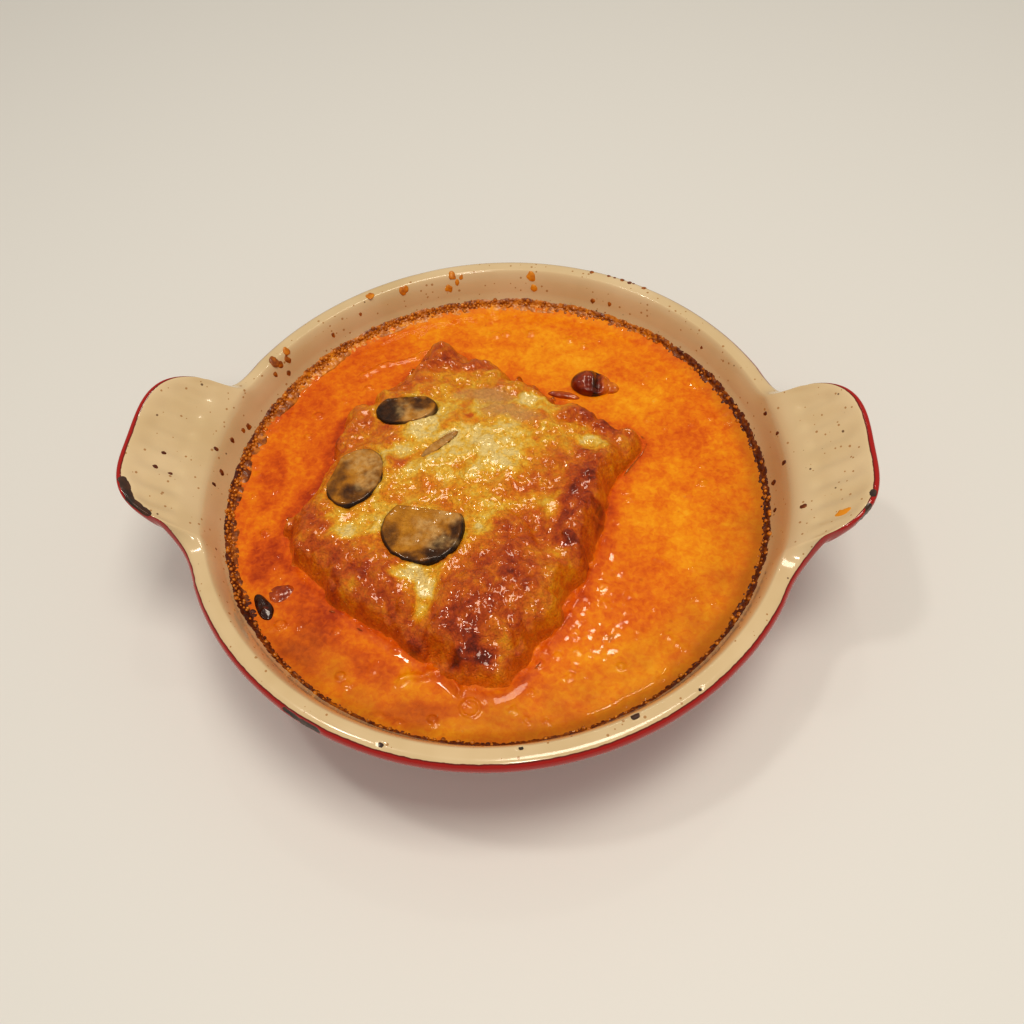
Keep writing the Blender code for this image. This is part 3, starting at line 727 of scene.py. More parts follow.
def make_lasagna(material):
    """The portion: its browned, blistered and folded top, and its plain sides below the sauce."""
    outline = closed_curve(PORTION_OUTLINE, PORTION_COLUMNS)
    centre = np.array(PORTION_CENTRE)
    wander = lumps(np.column_stack([outline, np.zeros(len(outline))]), 7 * MM, 3, 3)
    shares = np.linspace(0, 1, PORTION_ROWS)[:, None] ** 0.93
    grow = shares * (1 + 0.06 * wander * shares ** 4)
    plan = centre + (outline - centre) * grow[..., None]
    x, y = plan[..., 0].ravel(), plan[..., 1].ravel()
    flat = np.column_stack([x, y, np.zeros(len(x))])
    # the patches' edges wander by a few millimetres
    wx = x + 2.6 * MM * lumps(flat, 7 * MM, 11, 4)
    wy = y + 2.6 * MM * lumps(flat, 7 * MM, 21, 4)
    browned = patches(wx, wy, BROWNED)
    cream = patches(wx, wy, CREAM_SPOTS)
    ham = patches(wx, wy, HAM_SPOTS)
    dark = patches(wx, wy, DARK_SPOTS)
    wet = patches(wx, wy, WET_FLANK)
    oil = patches(wx, wy, YELLOW_OIL)
    browned = browned * (1 - 0.75 * cream) * (1 - 0.7 * ham)
    fried = smooth(0.35, 0.8, browned)
    fx = wx + 0.9 * MM * lumps(flat, 2 * MM, 13, 2)
    fy = wy + 0.9 * MM * lumps(flat, 2 * MM, 23, 2)
    big, pick = domes(fx, fy, 3.6 * MM, 31)
    small, small_pick = domes(fx, fy, 1.5 * MM, 41)
    # the sauce laps over the portion's edge here and there
    inset = SAUCE_LAP * smooth(-0.3, 0.4, lumps(flat, 9 * MM, 95, 3))
    gap = portion_gap(x, y) - inset
    inside = smooth(0, 3 * MM, gap)
    flank = smooth(15 * MM, 7 * MM, gap)
    height = portion_height(x, y, inset)
    height += inside * flank * 1.5 * MM * lumps(flat, 5 * MM, 97, 2)
    height += inside * fried * (1 - 0.6 * wet) * (0.7 * MM * big * pick + 0.35 * MM * small * small_pick)
    height += inside * (1 - 0.7 * fried) * (0.7 * MM * (0.6 - 2 * np.abs(lumps(flat, 9 * MM, 51, 2)))
                                            + 0.2 * MM * lumps(flat, 1.3 * MM, 61, 2))
    height += inside * (1.3 * MM * lumps(flat, 8 * MM, 71, 2) + 1.0 * MM * lumps(flat, 3.6 * MM, 75, 3))
    for line, width, lift in FOLDS:
        height += inside * lift * MM * np.exp(-(line_gap(wx, wy, line) / (width * MM)) ** 2)
    for spec in MUSHROOMS.values():
        share = slice_share(x, y, spec)
        height -= SLICE_DENT * smooth(1.0, 0.75, share)
        height += SLICE_LIP * np.exp(-((share - 1.1) / 0.12) ** 2) * (spec[3] > 3)
    tone = 0.25 + 0.32 * browned + 0.14 * fried * (1.5 * big * pick - 0.45)
    tone += 0.22 * lumps(flat, 6 * MM, 81, 4) - 0.2 * cream + 0.24 * dark
    # painted shade and light: the relief's hollows browner and its rises paler
    tone -= 0.04 * (height - portion_height(x, y, inset)) / MM
    tone += 0.14 * flank * (1 - 0.6 * cream) * (1 - 0.9 * fried)
    tone = mix(tone, 0.40, smooth(0.3, 0.9, wet) * 0.6)
    low = smooth(4.0 * MM, 0.5 * MM, height - SAUCE_LEVEL + 1.5 * MM * lumps(flat, 4 * MM, 91, 2))
    oil = np.clip(0.45 * oil * (1 - fried) + 0.75 * low, 0, 0.9)
    top = np.column_stack([x, y, height]).reshape(plan.shape[0], -1, 3)
    lower = [(WAIST_SHARE, WAIST_HEIGHT), (FOOT_SHARE, FLOOR_HEIGHT + CLEARANCE),
             (0, FLOOR_HEIGHT + CLEARANCE)]
    rows = [np.column_stack([centre + (outline - centre) * share, np.full(len(outline), z)])
            for share, z in lower]
    grid = np.concatenate([top, np.array(rows)])
    pad = np.zeros(3 * len(outline))
    fields = {"tone": np.append(tone, pad + 0.5), "oil": np.append(oil, pad + 0.8),
              "ham": np.append(0.85 * ham * (1 - fried), pad)}
    add_piece(skin("lasagna_cheese_top", grid, material, fields), "baked_cheese", "lasagna")


# ---------------------------------------------------------------- the sauce

RED_SAUCE = [               # x, y, half-length, half-width, turn, strength; mm
    (-50.3, -49.9, 12, 6, -35, 0.9), (-15.8, -76, 12, 4, 0, 0.8), (-52.9, -59.8, 9, 4, -40, 0.8),
    (-71.1, -27.9, 5, 10, 10, 0.9), (-31.9, -62.3, 9, 4, -30, 0.8), (63.1, 24.7, 6, 5, 0, 0.45),
    (59.6, 20.4, 8, 5, 0, 0.4), (48.7, -29.7, 7, 4, 20, 0.4), (39.7, -38.6, 7, 5, 0, 0.45),
    (15.9, -67.6, 6, 4, 0, 0.5), (-74, 2, 4, 14, 5, 0.55), (30, -50, 8, 6, 0, 0.35),
    (44, -38, 16, 12, 30, 0.4),
]
YELLOW_SAUCE = [
    (18.9, 58.1, 16, 8, -10, 0.8), (54, -2, 14, 16, 0, 0.5), (-6.9, -80.9, 14, 3, 0, 0.5),
    (45.2, -67.1, 14, 6, 35, 0.6), (62, -20, 8, 12, 10, 0.5), (45, 40, 10, 8, -30, 0.5),
    (0, 70, 20, 5, 0, 0.5), (60, -45, 10, 6, 40, 0.5),
]
SKIN_FOLD = [(-51.5, 49.3), (-45, 53.5), (-37, 57.0), (-28.1, 61.2)]
SHINY_SKIN = [(-22.5, -67.5), (-17, -65.2), (-11.4, -62.6), (-8.0, -65.6), (-4.5, -69.4)]
WET_BUBBLES = [(x, y, r, r * 0.8, 0, 1.0) for x, y, r in (
    (-60.7, -50.2, 1.8), (-63.7, 30.8, 1.8), (-65.5, 21.4, 1.4), (-72.2, -17.8, 1.5), (-5, 70, 2.0),
    (-1, 71, 1.6), (8, 71, 1.8), (22, 68, 1.5), (27, 65, 1.2), (40, -60, 1.2), (66, 5, 1.2),
    (-40, -66, 1.5), (-48, 44, 1.4), (-12, -78, 1.4))]
BUBBLE = (-1.9, -74.3, 2.5)         # x, y, radius of a ring that a burst bubble left
SAUCE_COLUMNS, SAUCE_ROWS = 940, 84
SAUCE_TUCK = 3.6 * MM       # how far its surface runs on under the portion's edge


def make_sauce(material):
    """The sauce: its surface from under the portion's edge out to the wall, and its hidden sides."""
    outline = closed_curve(PORTION_OUTLINE, SAUCE_COLUMNS)
    centre = np.array(PORTION_CENTRE)
    toward = centre - outline
    inner = outline + toward / np.linalg.norm(toward, axis=1, keepdims=True) * SAUCE_TUCK
    bearing = np.arctan2(outline[:, 1], outline[:, 0])
    away = np.stack([np.cos(bearing), np.sin(bearing)], axis=1)
    outer = away * (wall_radius(SAUCE_LEVEL + MENISCUS) + 0.35 * MM)
    shares = np.linspace(0, 1, SAUCE_ROWS)
    plan = inner + (outer - inner) * shares[:, None, None]
    x, y = plan[..., 0].ravel(), plan[..., 1].ravel()
    flat = np.column_stack([x, y, np.zeros(len(x))])
    beside = portion_gap(x, y)
    from_wall = np.maximum(0, wall_radius(SAUCE_LEVEL + MENISCUS) - np.hypot(x, y))
    wx = x + 2.5 * MM * lumps(flat, 8 * MM, 111, 3)
    wy = y + 2.5 * MM * lumps(flat, 8 * MM, 121, 3)
    red = patches(wx, wy, RED_SAUCE)
    yellow = patches(wx, wy, YELLOW_SAUCE)
    curdled = 0.55 + 0.45 * smooth(-0.2, 0.3, lumps(flat, 18 * MM, 131, 2))
    height = np.full(len(x), SAUCE_LEVEL) + MENISCUS * smooth(5 * MM, 0, from_wall) ** 1.5
    height += 0.35 * MM * smooth(2.5 * MM, 0, beside)
    height += 0.16 * MM * lumps(flat, 9 * MM, 141, 2)
    height += curdled * (0.11 * MM * lumps(flat, 3 * MM, 151, 3))
    bubbles, pick = domes(wx, wy, 6.5 * MM, 161, 0.08, 0.22)
    height += 0.3 * MM * bubbles * (pick > 0.75)
    for line, width, lift in ((SKIN_FOLD, 0.8, 0.7), (SHINY_SKIN, 1.3, 1.1)):
        height += lift * MM * np.exp(-(line_gap(wx, wy, line) / (width * MM)) ** 2)
    ring = np.abs(np.hypot(x - BUBBLE[0] * MM, y - BUBBLE[1] * MM) - BUBBLE[2] * MM)
    height += 0.5 * MM * np.exp(-(ring / (0.5 * MM)) ** 2)
    around = np.degrees(np.arctan2(y, x))
    tone = 0.13 + 0.24 * red - 0.12 * yellow + 0.15 * lumps(flat, 9 * MM, 171, 4)
    tone += 0.10 * smooth(-20 * MM, -60 * MM, x) - 0.03
    tone += 0.2 * smooth(5 * MM, 0, beside + 1.5 * MM * lumps(flat, 5 * MM, 191, 2))
    height += 0.7 * MM * patches(x, y, WET_BUBBLES)
    olive = smooth(6.5 * MM, 1.0 * MM, from_wall) * smooth(80, 40, np.abs(around + 25)) * 0.45
    near = smooth(95, 50, np.abs(around + 70)) * (0.6 + 0.5 * lumps(flat, 7 * MM, 181, 3))
    olive = np.clip(olive + 0.65 * near * smooth(24 * MM, 3 * MM, from_wall), 0, 0.8)
    top = np.column_stack([x, y, height]).reshape(plan.shape[0], -1, 3)
    rows = [np.column_stack([away * (wall_radius(z) - 0.3 * MM), np.full(len(away), z)])
            for z in (26 * MM, WALL_ROOT[1])]
    for share in (0.66, 0.33, 0):
        radius, z = floor_curve(share)
        rows.append(np.column_stack([away * (radius - 0.4 * MM), np.full(len(away), z + CLEARANCE)]))
    for share, z in ((FOOT_SHARE, FLOOR_HEIGHT + CLEARANCE), (WAIST_SHARE, WAIST_HEIGHT)):
        side = centre + (outline - centre) * share
        rows.append(np.column_stack([side, np.full(len(side), z)]))
    grid = np.concatenate([top, np.array(rows)])
    pad = np.full(len(rows) * len(away), 0.4)
    fields = {"tone": np.append(tone, pad), "olive": np.append(olive, pad * 0)}
    piece = skin("tomato_cream_sauce_pool", grid, material, fields, tube=True)
    add_piece(piece, "tomato_cream_sauce", "sauce")


# ---------------------------------------------------------------- the crust on the wall

CRUST = [                   # bearing in degrees; width over the sauce, height up the wall, mm; burnt
    (0, 1.5, 2.5, 0.46), (35, 1.6, 2.4, 0.40), (55, 1.6, 2.2, 0.26), (80, 2.2, 2.1, 0.18),
    (110, 2.4, 2.0, 0.12), (140, 2.8, 2.1, 0.12), (165, 2.6, 2.2, 0.24), (190, 2.0, 2.2, 0.32),
    (205, 1.8, 2.4, 0.34), (214, 2.2, 3.4, 0.5), (224, 0.9, 2.0, 0.40), (250, 0.7, 1.6, 0.38),
    (290, 0.7, 1.6, 0.38), (320, 1.1, 2.1, 0.46), (345, 1.5, 2.6, 0.48), (360, 1.5, 2.5, 0.46),
]


CRUST_COLUMNS, CRUST_ROWS = 1500, 20
CRUST_RADIUS = 85 * MM
CRUST_LENGTH = 534 * MM     # once round the wall


def make_crust(material):
    """The ring of crust, from the sauce up the wall: beads on its face, and a plain back."""
    count, across = CRUST_COLUMNS, CRUST_ROWS
    bearing = np.linspace(0, 360, count, endpoint=False)
    table = np.array(CRUST)
    width, climb, burnt = (np.interp(bearing, table[:, 0], table[:, k]) for k in (1, 2, 3))
    away = np.column_stack([np.cos(np.radians(bearing)), np.sin(np.radians(bearing))])
    ragged = np.column_stack([away, np.zeros(count)]) * CRUST_RADIUS
    width = width * (1 + 0.45 * lumps(ragged, 6 * MM, 201, 3)) * MM
    climb = climb * (1 + 0.5 * lumps(ragged, 5 * MM, 211, 4)) * MM
    base = SAUCE_LEVEL + 0.4 * MM
    rows, fade = [], []
    for i in range(across):
        s = i / (across - 1)
        on_sauce = np.clip(s / 0.4, 0, 1)
        on_wall = np.clip((s - 0.4) / 0.6, 0, 1)
        z = base + 0.7 * MM * on_sauce ** 2 + climb * on_wall
        radius = wall_radius(z) - width * (1 - on_sauce)
        rows.append(np.column_stack([away * radius[:, None], z]))
        fade.append(np.full(count, math.sin(math.pi * s) ** 0.6))
    grid = np.array(rows)
    normal = grid_normals(grid)
    normal *= np.where(np.einsum("ijk,jk->ij", normal[..., :2], away) > 0.2, -1, 1)[..., None]
    fade = np.array(fade)
    u = np.tile(bearing / 360 * CRUST_LENGTH, across)
    v = np.concatenate([[0.0], np.cumsum(np.linalg.norm(np.diff(grid, axis=0), axis=2).mean(1))])
    v = np.repeat(v, count)
    coarse, pick = domes(u, v, 1.9 * MM, 221)
    fine, pick_fine = domes(u, v, 1.0 * MM, 231)
    left = smooth(60, 110, np.tile(bearing, across)) * smooth(225, 195, np.tile(bearing, across))
    relief = mix(0.6 * MM * fine * pick_fine, 0.45 * MM * coarse * pick + 0.35 * MM * fine, left)
    front = grid + normal * ((relief + 0.12 * MM).reshape(across, count) * fade
                             - 0.25 * MM * (1 - fade))[..., None]
    back = grid[::-1] - normal[::-1] * 0.7 * MM
    shade = np.tile(burnt, across) + 0.18 * (mix(pick_fine, pick, left) - 0.5)
    shade += 0.12 * lumps(front.reshape(-1, 3), 6 * MM, 241, 2)
    edge_dark = np.repeat(np.linspace(0, 1, across), count)
    shade += 0.12 * smooth(0.45, 0.8, edge_dark) * left
    ground = mix(0.25, 1.0, left) * smooth(0.15, 0.4, edge_dark) * smooth(1.0, 0.75, edge_dark)
    fields = {"burnt": np.append(shade, shade), "spread": np.append(ground, 0 * ground)}
    piece = skin("baked_crust_ring", np.concatenate([front, back]), material, fields, tube=True)
    add_piece(piece, "tomato_cream_sauce")
    return piece


# ---------------------------------------------------------------- toppings

def slice_outline(spec, count):
    """A slice's oval outline in plan, cut straight along one side."""
    cx, cy, long, wide, turn, _, cut = spec
    a = math.radians(turn)
    t = np.linspace(0, math.tau, count, endpoint=False)
    u = long * np.cos(t)
    v = wide * np.minimum(np.sin(t), 1 - cut)
    return np.column_stack([cx + u * math.cos(a) - v * math.sin(a),
                            cy + u * math.sin(a) + v * math.cos(a)]) * MM


def on_sauce(x, _):
    """The level that loose pieces float at."""
    return np.full(len(x), SAUCE_LEVEL)


def slice_grid(spec, ground, sink, count=150, flat_top=True, ragged=0.03):
    """A slice's grid of points and, for each, its share of the way out and up."""
    centre = np.array(spec[:2]) * MM
    edge = slice_outline(spec, count)
    edge = centre + (edge - centre) * (1 + ragged * lumps(
        np.column_stack([edge, np.zeros(count)]), 5 * MM, 301, 2))[:, None]
    low, high = -sink, spec[5] * MM - sink
    if flat_top:
        profile = [(s, 1.0 - 0.1 * s ** 3) for s in np.linspace(0, 0.86, 22)]
        profile += [(0.86 + 0.14 * math.sin(t), 0.62 + 0.32 * math.cos(t))
                    for t in np.linspace(0.15, math.pi / 2, 8)]
        profile += [(1.0, 0.4)]
    else:
        profile = [(math.sin(t), 0.2 + 0.8 * math.cos(t)) for t in np.linspace(0, math.pi / 2, 26)]
    profile += [(1.0, 0.2), (0.9, 0.0), (0.0, 0.0)]
    plan = np.array([centre + (edge - centre) * s for s, _ in profile])
    level = np.array([h for _, h in profile])[:, None]
    flat = plan.reshape(-1, 2)
    z = ground(flat[:, 0], flat[:, 1]).reshape(plan.shape[:2]) + mix(low, high, level)
    share = np.array([s for s, _ in profile])[:, None] * np.ones(count)
    return np.dstack([plan, z]), share, level * np.ones(count)


# where each slice is dark or under cheese, as ovals in plan: x, y, half-length, half-width, turn, strength
SLICE_DARK = {
    "mushroom_front": [(-12.5, -30.0, 7, 4.5, 30, 0.6), (-9.0, -24, 2.5, 5, 0, 0.5),
                       (-22, -33, 8, 2, 5, 0.4), (-29, -27, 3, 5, -20, 0.35)],
    "mushroom_left": [(-41.5, -11, 5, 4, 0, 0.5), (-48, -4, 2.5, 9, -15, 0.25),
                      (-37, -6, 3, 6, 0, 0.25)],
    "mushroom_back": [(-36, 23, 5, 6, 0, 0.6), (-26, 26, 4, 3, 0, 0.35), (-22.5, 28, 3, 2, 0, 0.4),
                      (-31, 28, 8, 2, 0, 0.4)],
    "mushroom_sliver": [(-17.6, 9.3, 8, 2, 42, 0.15)],
}
SLICE_FILM = {
    "mushroom_front": [(-17, -24, 7, 3.0, -35, 0.75), (-12, -18, 5, 3, 0, 0.7),
                       (-14, -28, 6, 2, 0, 0.6), (-22, -27, 4, 2, 20, 0.5)],
    "mushroom_left": [(-40, 1, 6, 5, 0, 0.8), (-39, -6, 4, 4, 0, 0.7), (-46, 5, 5, 3, 0, 0.6)],
    "mushroom_back": [(-31, 23, 3, 5, 20, 0.6), (-26, 21, 6, 3, 0, 0.6)],
    "mushroom_sliver": [(-17.6, 9.3, 9, 3, 42, 0.65)],
}


SLICE_TUCK = 1.0 * MM       # how much deeper the cheese holds a slice than the plain solid does


def make_slices(material):
    """Mushroom slices, sunk in the cheese: a dark skin round the edge, and a film of cheese."""
    for name, spec in MUSHROOMS.items():
        grid, share, level = slice_grid(spec, portion_height, MUSHROOM_SINK + SLICE_TUCK)
        points = grid.reshape(-1, 3)
        x, y = points[:, 0], points[:, 1]
        wx = x + 1.0 * MM * lumps(points, 3 * MM, 311, 2)
        wy = y + 1.0 * MM * lumps(points, 3 * MM, 321, 2)
        dark = patches(wx, wy, SLICE_DARK[name])
        film = patches(wx, wy, SLICE_FILM[name])
        share, level = share.ravel(), level.ravel()
        rim = smooth(0.90, 0.97, share)
        streaks = lumps(points * (1, 1, 0.2), 1.1 * MM, 331, 2)
        film *= 0.75 * smooth(-0.9, 0.6, streaks)
        up = smooth(0.5, 0.9, level)
        rise = 0.25 * MM * lumps(points, 4 * MM, 341, 2) + 0.12 * MM * streaks * (0.3 + film)
        # the cap's edge is a little proud of the cut face
        rise += 0.35 * MM * smooth(0.75, 0.9, share) * smooth(1.0, 0.92, share)
        points[:, 2] += rise * up
        shade = (0.14 if name == "mushroom_back" else 0.12) + 0.8 * dark + 0.5 * rim
        shade += 0.24 * lumps(points, 2.4 * MM, 351, 3)
        fields = {"dark": shade, "film": film * up}
        piece = skin(name + "_slice", points.reshape(grid.shape), material, fields)
        add_piece(piece, "mushroom", name)


def make_nub(material):
    """The knob of fried cheese: a dark dome with two dents, falling away to one end."""
    grid, _, level = slice_grid(FRIED_NUB, on_sauce, 0.6 * MM, 120, flat_top=False, ragged=0.1)
    points = grid.reshape(-1, 3)
    x, y = points[:, 0] / MM, points[:, 1] / MM
    up = smooth(0.3, 0.9, level.ravel())
    dent = 2.4 * np.exp(-((x - 32.6) / 1.3) ** 2) + 1.5 * np.exp(-((x - 29.2) / 1.0) ** 2
                                                                 - ((y - 44) / 2.2) ** 2)
    points[:, 2] -= up * MM * (dent + 2.2 * smooth(33, 36.5, x) + 0.5 * lumps(points, 2.5 * MM, 401, 2))
    burnt = 0.42 - 0.35 * smooth(32, 35, x) + 0.3 * np.exp(-((x - 31.5) / 1.5) ** 2)
    piece = skin("fried_cheese_knob", points.reshape(grid.shape), material,
                 {"burnt": burnt + 0.15 * lumps(points, 3 * MM, 411, 2)})
    add_piece(piece, "fried_cheese", "fried_nub")


def scatter(name, ground, material, spacing, smallest, largest, seed):
    """Small blisters scattered over a piece where its own spread attribute is above nothing."""
    tree = bpy.data.node_groups.new(name, "GeometryNodeTree")
    face = tree.interface
    face.new_socket("Ground", in_out="INPUT", socket_type="NodeSocketGeometry")
    for label in ("Spacing", "Smallest", "Largest"):
        face.new_socket(label, in_out="INPUT", socket_type="NodeSocketFloat")
    face.new_socket("Seed", in_out="INPUT", socket_type="NodeSocketInt")
    face.new_socket("Blisters", in_out="OUTPUT", socket_type="NodeSocketGeometry")
    sizes = add(tree, "NodeGroupInput").outputs
    spread = add(tree, "GeometryNodeInputNamedAttribute", {"Name": "spread"}, data_type="FLOAT")
    points = add(tree, "GeometryNodeDistributePointsOnFaces", {
        "Mesh": sizes["Ground"], "Distance Min": sizes["Spacing"], "Density Max": 2.0e6,
        "Density Factor": spread.outputs[0], "Seed": sizes["Seed"]}, distribute_method="POISSON")
    ball = add(tree, "GeometryNodeMeshIcoSphere", {"Radius": 1.0, "Subdivisions": 2})
    size = add(tree, "FunctionNodeRandomValue", {2: sizes["Smallest"], 3: sizes["Largest"],
                                                 "Seed": sizes["Seed"]}, data_type="FLOAT")
    placed = add(tree, "GeometryNodeInstanceOnPoints", {
        "Points": points.outputs["Points"], "Instance": ball.outputs["Mesh"],
        "Rotation": points.outputs["Rotation"], "Scale": size.outputs[1]})
    real = add(tree, "GeometryNodeRealizeInstances", {"Geometry": placed.outputs[0]})
    tones = add(tree, "FunctionNodeRandomValue", {2: 0.10, 3: 0.34, "Seed": sizes["Seed"]},
                data_type="FLOAT")
    real = add(tree, "GeometryNodeStoreNamedAttribute", {
        "Geometry": real.outputs[0], "Name": "burnt", "Value": tones.outputs[1]},
               data_type="FLOAT", domain="POINT")
    even = add(tree, "GeometryNodeSetShadeSmooth", {"Geometry": real.outputs[0]})
    finished = add(tree, "GeometryNodeSetMaterial", {"Geometry": even.outputs[0],
                                                     "Material": material})
    add(tree, "NodeGroupOutput", {"Blisters": finished.outputs[0]})
    holder = bpy.data.objects.new(name, ground.data)
    bpy.context.scene.collection.objects.link(holder)
    modifier = holder.modifiers.new(name, "NODES")
    modifier.node_group = tree
    wanted = {"Spacing": spacing, "Smallest": smallest, "Largest": largest, "Seed": seed}
    for item in tree.interface.items_tree:
        if item.name in wanted:
            modifier[item.identifier] = wanted[item.name]
    shown = holder.evaluated_get(bpy.context.evaluated_depsgraph_get())
    data = bpy.data.meshes.new_from_object(shown)
    holder.modifiers.clear()
    holder.data = data
    return holder


def make_blisters(crust, material):
    """Bubbles that have baked hard in the crust, most of them on the far and left sides."""
    blisters = scatter("crust_blisters", crust, material, spacing=1.0 * MM, smallest=0.30 * MM,
                       largest=0.80 * MM, seed=7)
    add_piece(blisters, "tomato_cream_sauce")


BITS = {        # scraps in the sauce: x, y, half-length, half-width, turn, thickness, cut; mm; how burnt
    "burnt_lump": ((-67.0, -44.5, 4.8, 2.2, -55, 2.2, 0.0), 0.8),
    "red_lump": ((-63.0, -39.5, 4.2, 3.0, 30, 1.6, 0.0), 0.22),
    "nub_tail": ((36.0, 45.0, 3.4, 2.6, 0, 2.6, 0.0), 0.02),
    "browned_edge_scrap": ((20.5, 41.5, 5.5, 1.6, -12, 2.2, 0.0), 0.25),
    "ham_scrap": ((36.8, -51.2, 2.6, 1.6, 20, 1.3, 0.0), -0.1),
}


def make_bits(material):
    """Small scraps that float in the sauce."""
    for name, (spec, burnt) in BITS.items():
        grid, _, level = slice_grid(spec, on_sauce, 0.7 * MM, 72, flat_top=False, ragged=0.3)
        points = grid.reshape(-1, 3)
        up = smooth(0.2, 0.9, level.ravel())
        points[:, 2] += up * MM * (0.6 * lumps(points, 1.8 * MM, 501, 2) - 0.2)
        shade = burnt + 0.2 * lumps(points, 2.5 * MM, 511, 2)
        piece = skin(name, points.reshape(grid.shape), material, {"burnt": shade})
        add_piece(piece, "fried_cheese")


SPATTER = [                 # sauce baked on the wall and rim: bearing, height or reach, size; mm; burnt
    (123.2, 91.5, 1.5, 0.15), (115.4, 89.6, 1.5, 0.2), (103.7, 90.2, 1.2, 0.15), (104.9, 88.3, 1.4, 0.1),
    (102.8, 88.9, 0.9, 0.15), (101.6, 89.6, 0.7, 0.15), (85.2, 89.2, 1.6, 0.12), (84.5, 87.8, 1.2, 0.1),
    (69.9, 87.4, 0.8, 0.3), (65.7, 87.6, 0.7, 0.3), (71.7, 94.2, 0.8, 0.3), (67.8, 94.4, 0.7, 0.35),
    (66.4, 94.4, 0.5, 0.4), (64.7, 94.5, 0.8, 0.35), (62.8, 94.3, 0.8, 0.4), (62.0, 94.6, 0.5, 0.4),
    (59.4, 94.4, 0.8, 0.3), (150.8, 90.4, 1.5, 0.3), (150.0, 89.2, 1.1, 0.3), (147.8, 88.9, 1.2, 0.3),
    (149.3, 87.6, 0.9, 0.35), (146.9, 90.2, 1.2, 0.2), (152.3, 88.6, 0.8, 0.3), (171.5, 88.7, 0.9, 0.4),
    (165.9, 87.4, 1.0, 0.35), (167.6, 87.8, 0.8, 0.35), (3.6, 89.9, 0.8, 0.5), (16.7, 89.3, 0.7, 0.5),
    (-13.3, 103.6, 1.7, 0.05), (-8.9, 93.7, 0.9, 0.4), (1.2, 87.3, 0.9, 0.5), (-5.5, 87.2, 0.8, 0.5),
    (10.6, 90.0, 0.6, 0.5), (-175.0, 103.6, 0.8, 0.5), (-178.6, 102.3, 0.7, 0.5),
    (-174.6, 99.5, 0.6, 0.5), (175.9, 90.6, 0.7, 0.4), (179.9, 88.3, 0.9, 0.4),
    (-176.2, 89.1, 0.7, 0.5), (135.0, 88.0, 0.7, 0.3), (127.0, 88.6, 0.6, 0.3), (40.0, 88.2, 0.6, 0.4),
]


def top_at(bearing, radius):
    """The point of the dish's upper surface at a bearing and a distance from the middle."""
    angle = np.full(240, bearing)
    outline = rim_plan(angle)
    span = np.linalg.norm(outline - ring_of(angle, WALL_TOP[0], 0)[:, :2], axis=1)
    points = flange(angle, span * np.linspace(0.02, 1, 240))
    reach = np.hypot(points[:, 0], points[:, 1])
    return points[np.argmin(np.abs(reach - radius))]


DROP_COLUMNS = 22


def make_spatter(material):
    """Thin drops on the wall and rim, each a low dome of ragged outline set into the enamel."""
    turn = np.linspace(0, math.tau, DROP_COLUMNS, endpoint=False)
    drops = []
    for number, (degrees, reach, size, burnt) in enumerate(SPATTER):
        bearing = math.radians(degrees)
        here = top_at(bearing, reach * MM)
        around = top_at(bearing + 0.01, reach * MM) - here
        upward = top_at(bearing, (reach + 0.7) * MM) - top_at(bearing, (reach - 0.7) * MM)
        upward, around = (v / np.linalg.norm(v) for v in (upward, around))
        normal = np.cross(around, upward)
        normal *= 1 if normal[2] > 0 else -1
        ragged = 1 + 0.5 * lumps(np.column_stack([np.cos(turn), np.sin(turn),
                                                  np.full(DROP_COLUMNS, number * 5.0)]),
                               0.9, 601, 2)
        rows = []
        for share, lift in ((0, 0.30), (0.35, 0.28), (0.65, 0.22), (0.88, 0.10), (1, -0.05),
                            (0.9, -0.3), (0, -0.3)):
            out = share * size * MM * ragged[:, None]
            rows.append(here + out * (np.cos(turn)[:, None] * around
                                      + 1.25 * np.sin(turn)[:, None] * upward)
                        + normal * lift * min(1.0, size) * MM)
        grid = np.array(rows)
        drops.append(skin("drop", grid, material, {"burnt": np.full(grid[..., 0].size, burnt)}))
    piece = join("baked_spatter", drops)
    add_piece(piece, "tomato_cream_sauce")


def join(name, pieces):
    """One object of several meshes that carry the same attributes."""
    with bpy.context.temp_override(active_object=pieces[0], selected_editable_objects=pieces):
        bpy.ops.object.join()
    pieces[0].name = name
    pieces[0].data.name = name
    return pieces[0]


# ---------------------------------------------------------------- studio and camera

LAMPS = [                   # name, place and size in metres, watts, tint
    ("soft_key", (0.14, -0.02, 1.0), 0.36, 3.8, "#FFF2E0"),
    ("left_lamp", (-0.34, 0.06, 0.96), 0.08, 1.0, "#FFF4E6"),
    ("far_lamp", (0.02, 0.46, 0.92), 0.05, 0.2, "#FFF4E6"),
    ("front_lamp", (0.1, -0.65, 0.85), 0.12, 1.2, "#FFF4E6"),
]
LAMP_AIM = (0, 0, 0.03)
STUDIO_REACH = 9            # half the width of the floor, metres


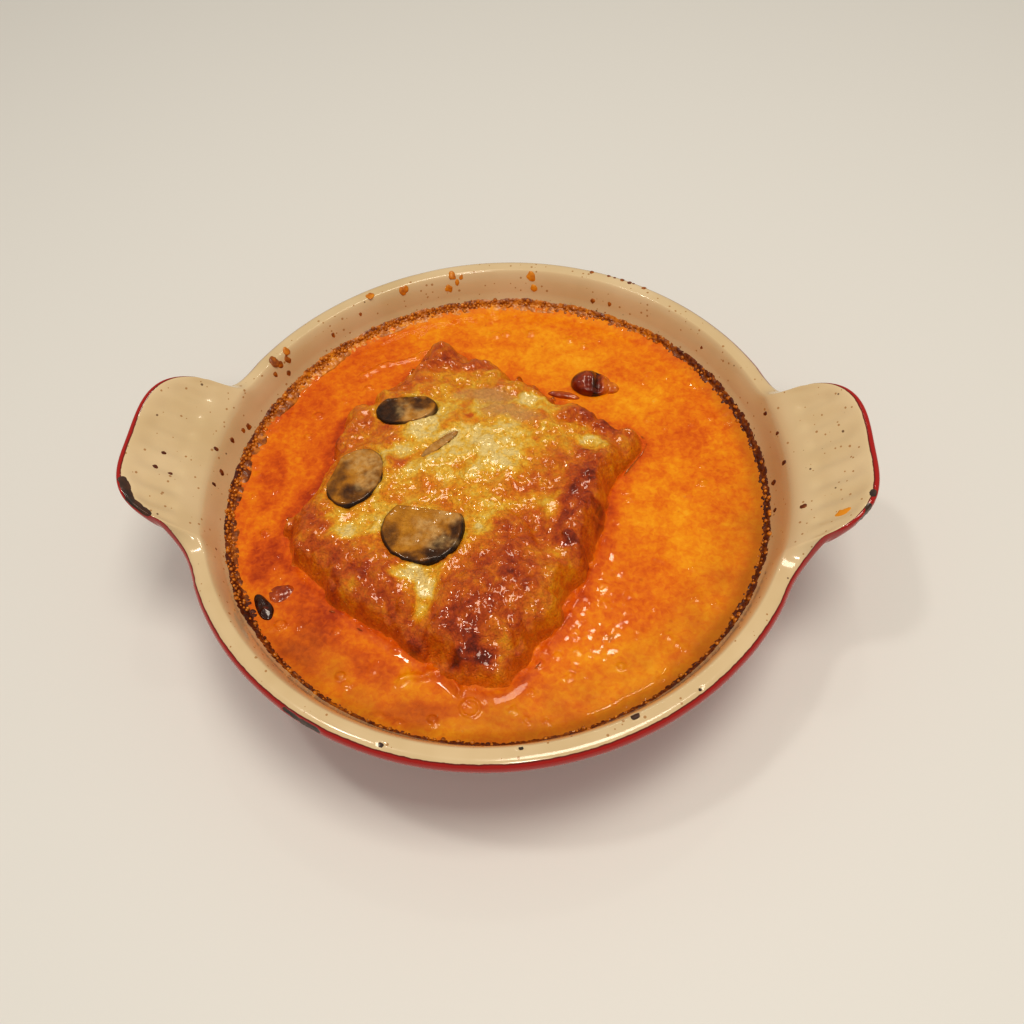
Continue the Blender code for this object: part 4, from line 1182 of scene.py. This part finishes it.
def make_studio():
    """A plain pale floor under soft warm light, mostly from overhead."""
    floor = bpy.data.meshes.new("studio_floor")
    ends = ((-1, -1), (1, -1), (1, 1), (-1, 1))
    floor.from_pydata([(i * STUDIO_REACH, j * STUDIO_REACH, 0) for i, j in ends], [],
                      [(0, 1, 2, 3)])
    material, _, shader, _ = blank_material("pale_studio_floor", Roughness=0.6)
    shader.inputs["Base Color"].default_value = colour("#E2E5E6")
    floor.materials.append(material)
    stage = bpy.data.objects.new("studio_floor", floor)
    bpy.context.scene.collection.objects.link(stage)
    world = bpy.data.worlds.new("studio")
    world.use_nodes = True
    glow = world.node_tree.nodes["Background"].inputs
    glow[0].default_value, glow[1].default_value = colour("#FFF4E4"), 0.34
    bpy.context.scene.world = world
    for name, place, size, power, tint in LAMPS:
        light = bpy.data.lights.new(name, "AREA")
        light.size, light.energy, light.color = size, power, colour(tint)[:3]
        holder = bpy.data.objects.new(name, light)
        holder.location = place
        aim = Vector(LAMP_AIM) - Vector(place)
        holder.rotation_euler = aim.to_track_quat("-Z", "Y").to_euler()
        bpy.context.scene.collection.objects.link(holder)
    bpy.context.scene.view_settings.view_transform = "Standard"
    bpy.context.scene.view_settings.look = "Medium High Contrast"


def make_camera():
    """A 33 mm view from 55 degrees above the near side."""
    data = bpy.data.cameras.new("camera")
    data.sensor_width = 36
    data.lens = 33.4
    data.clip_start = 0.01
    camera = bpy.data.objects.new("camera", data)
    right, up, back = ((0.99685, 0.06058, -0.05122), (-0.02088, 0.82325, 0.56729),
                       (0.07653, -0.56443, 0.82192))
    turn = Matrix((right, up, back)).transposed().to_4x4()
    camera.matrix_world = Matrix.Translation((0.02883, -0.17786, 0.27964)) @ turn
    bpy.context.scene.collection.objects.link(camera)
    bpy.context.scene.camera = camera


make_camera()
make_studio()
make_dish(enamel())
make_lasagna(melted_cheese())
make_sauce(tomato_cream())
crust_finish, fried_finish = baked_crust(), fried_cheese()
make_blisters(make_crust(crust_finish), crust_finish)
make_slices(cooked_mushroom())
make_nub(fried_finish)
make_bits(fried_finish)
make_spatter(crust_finish)
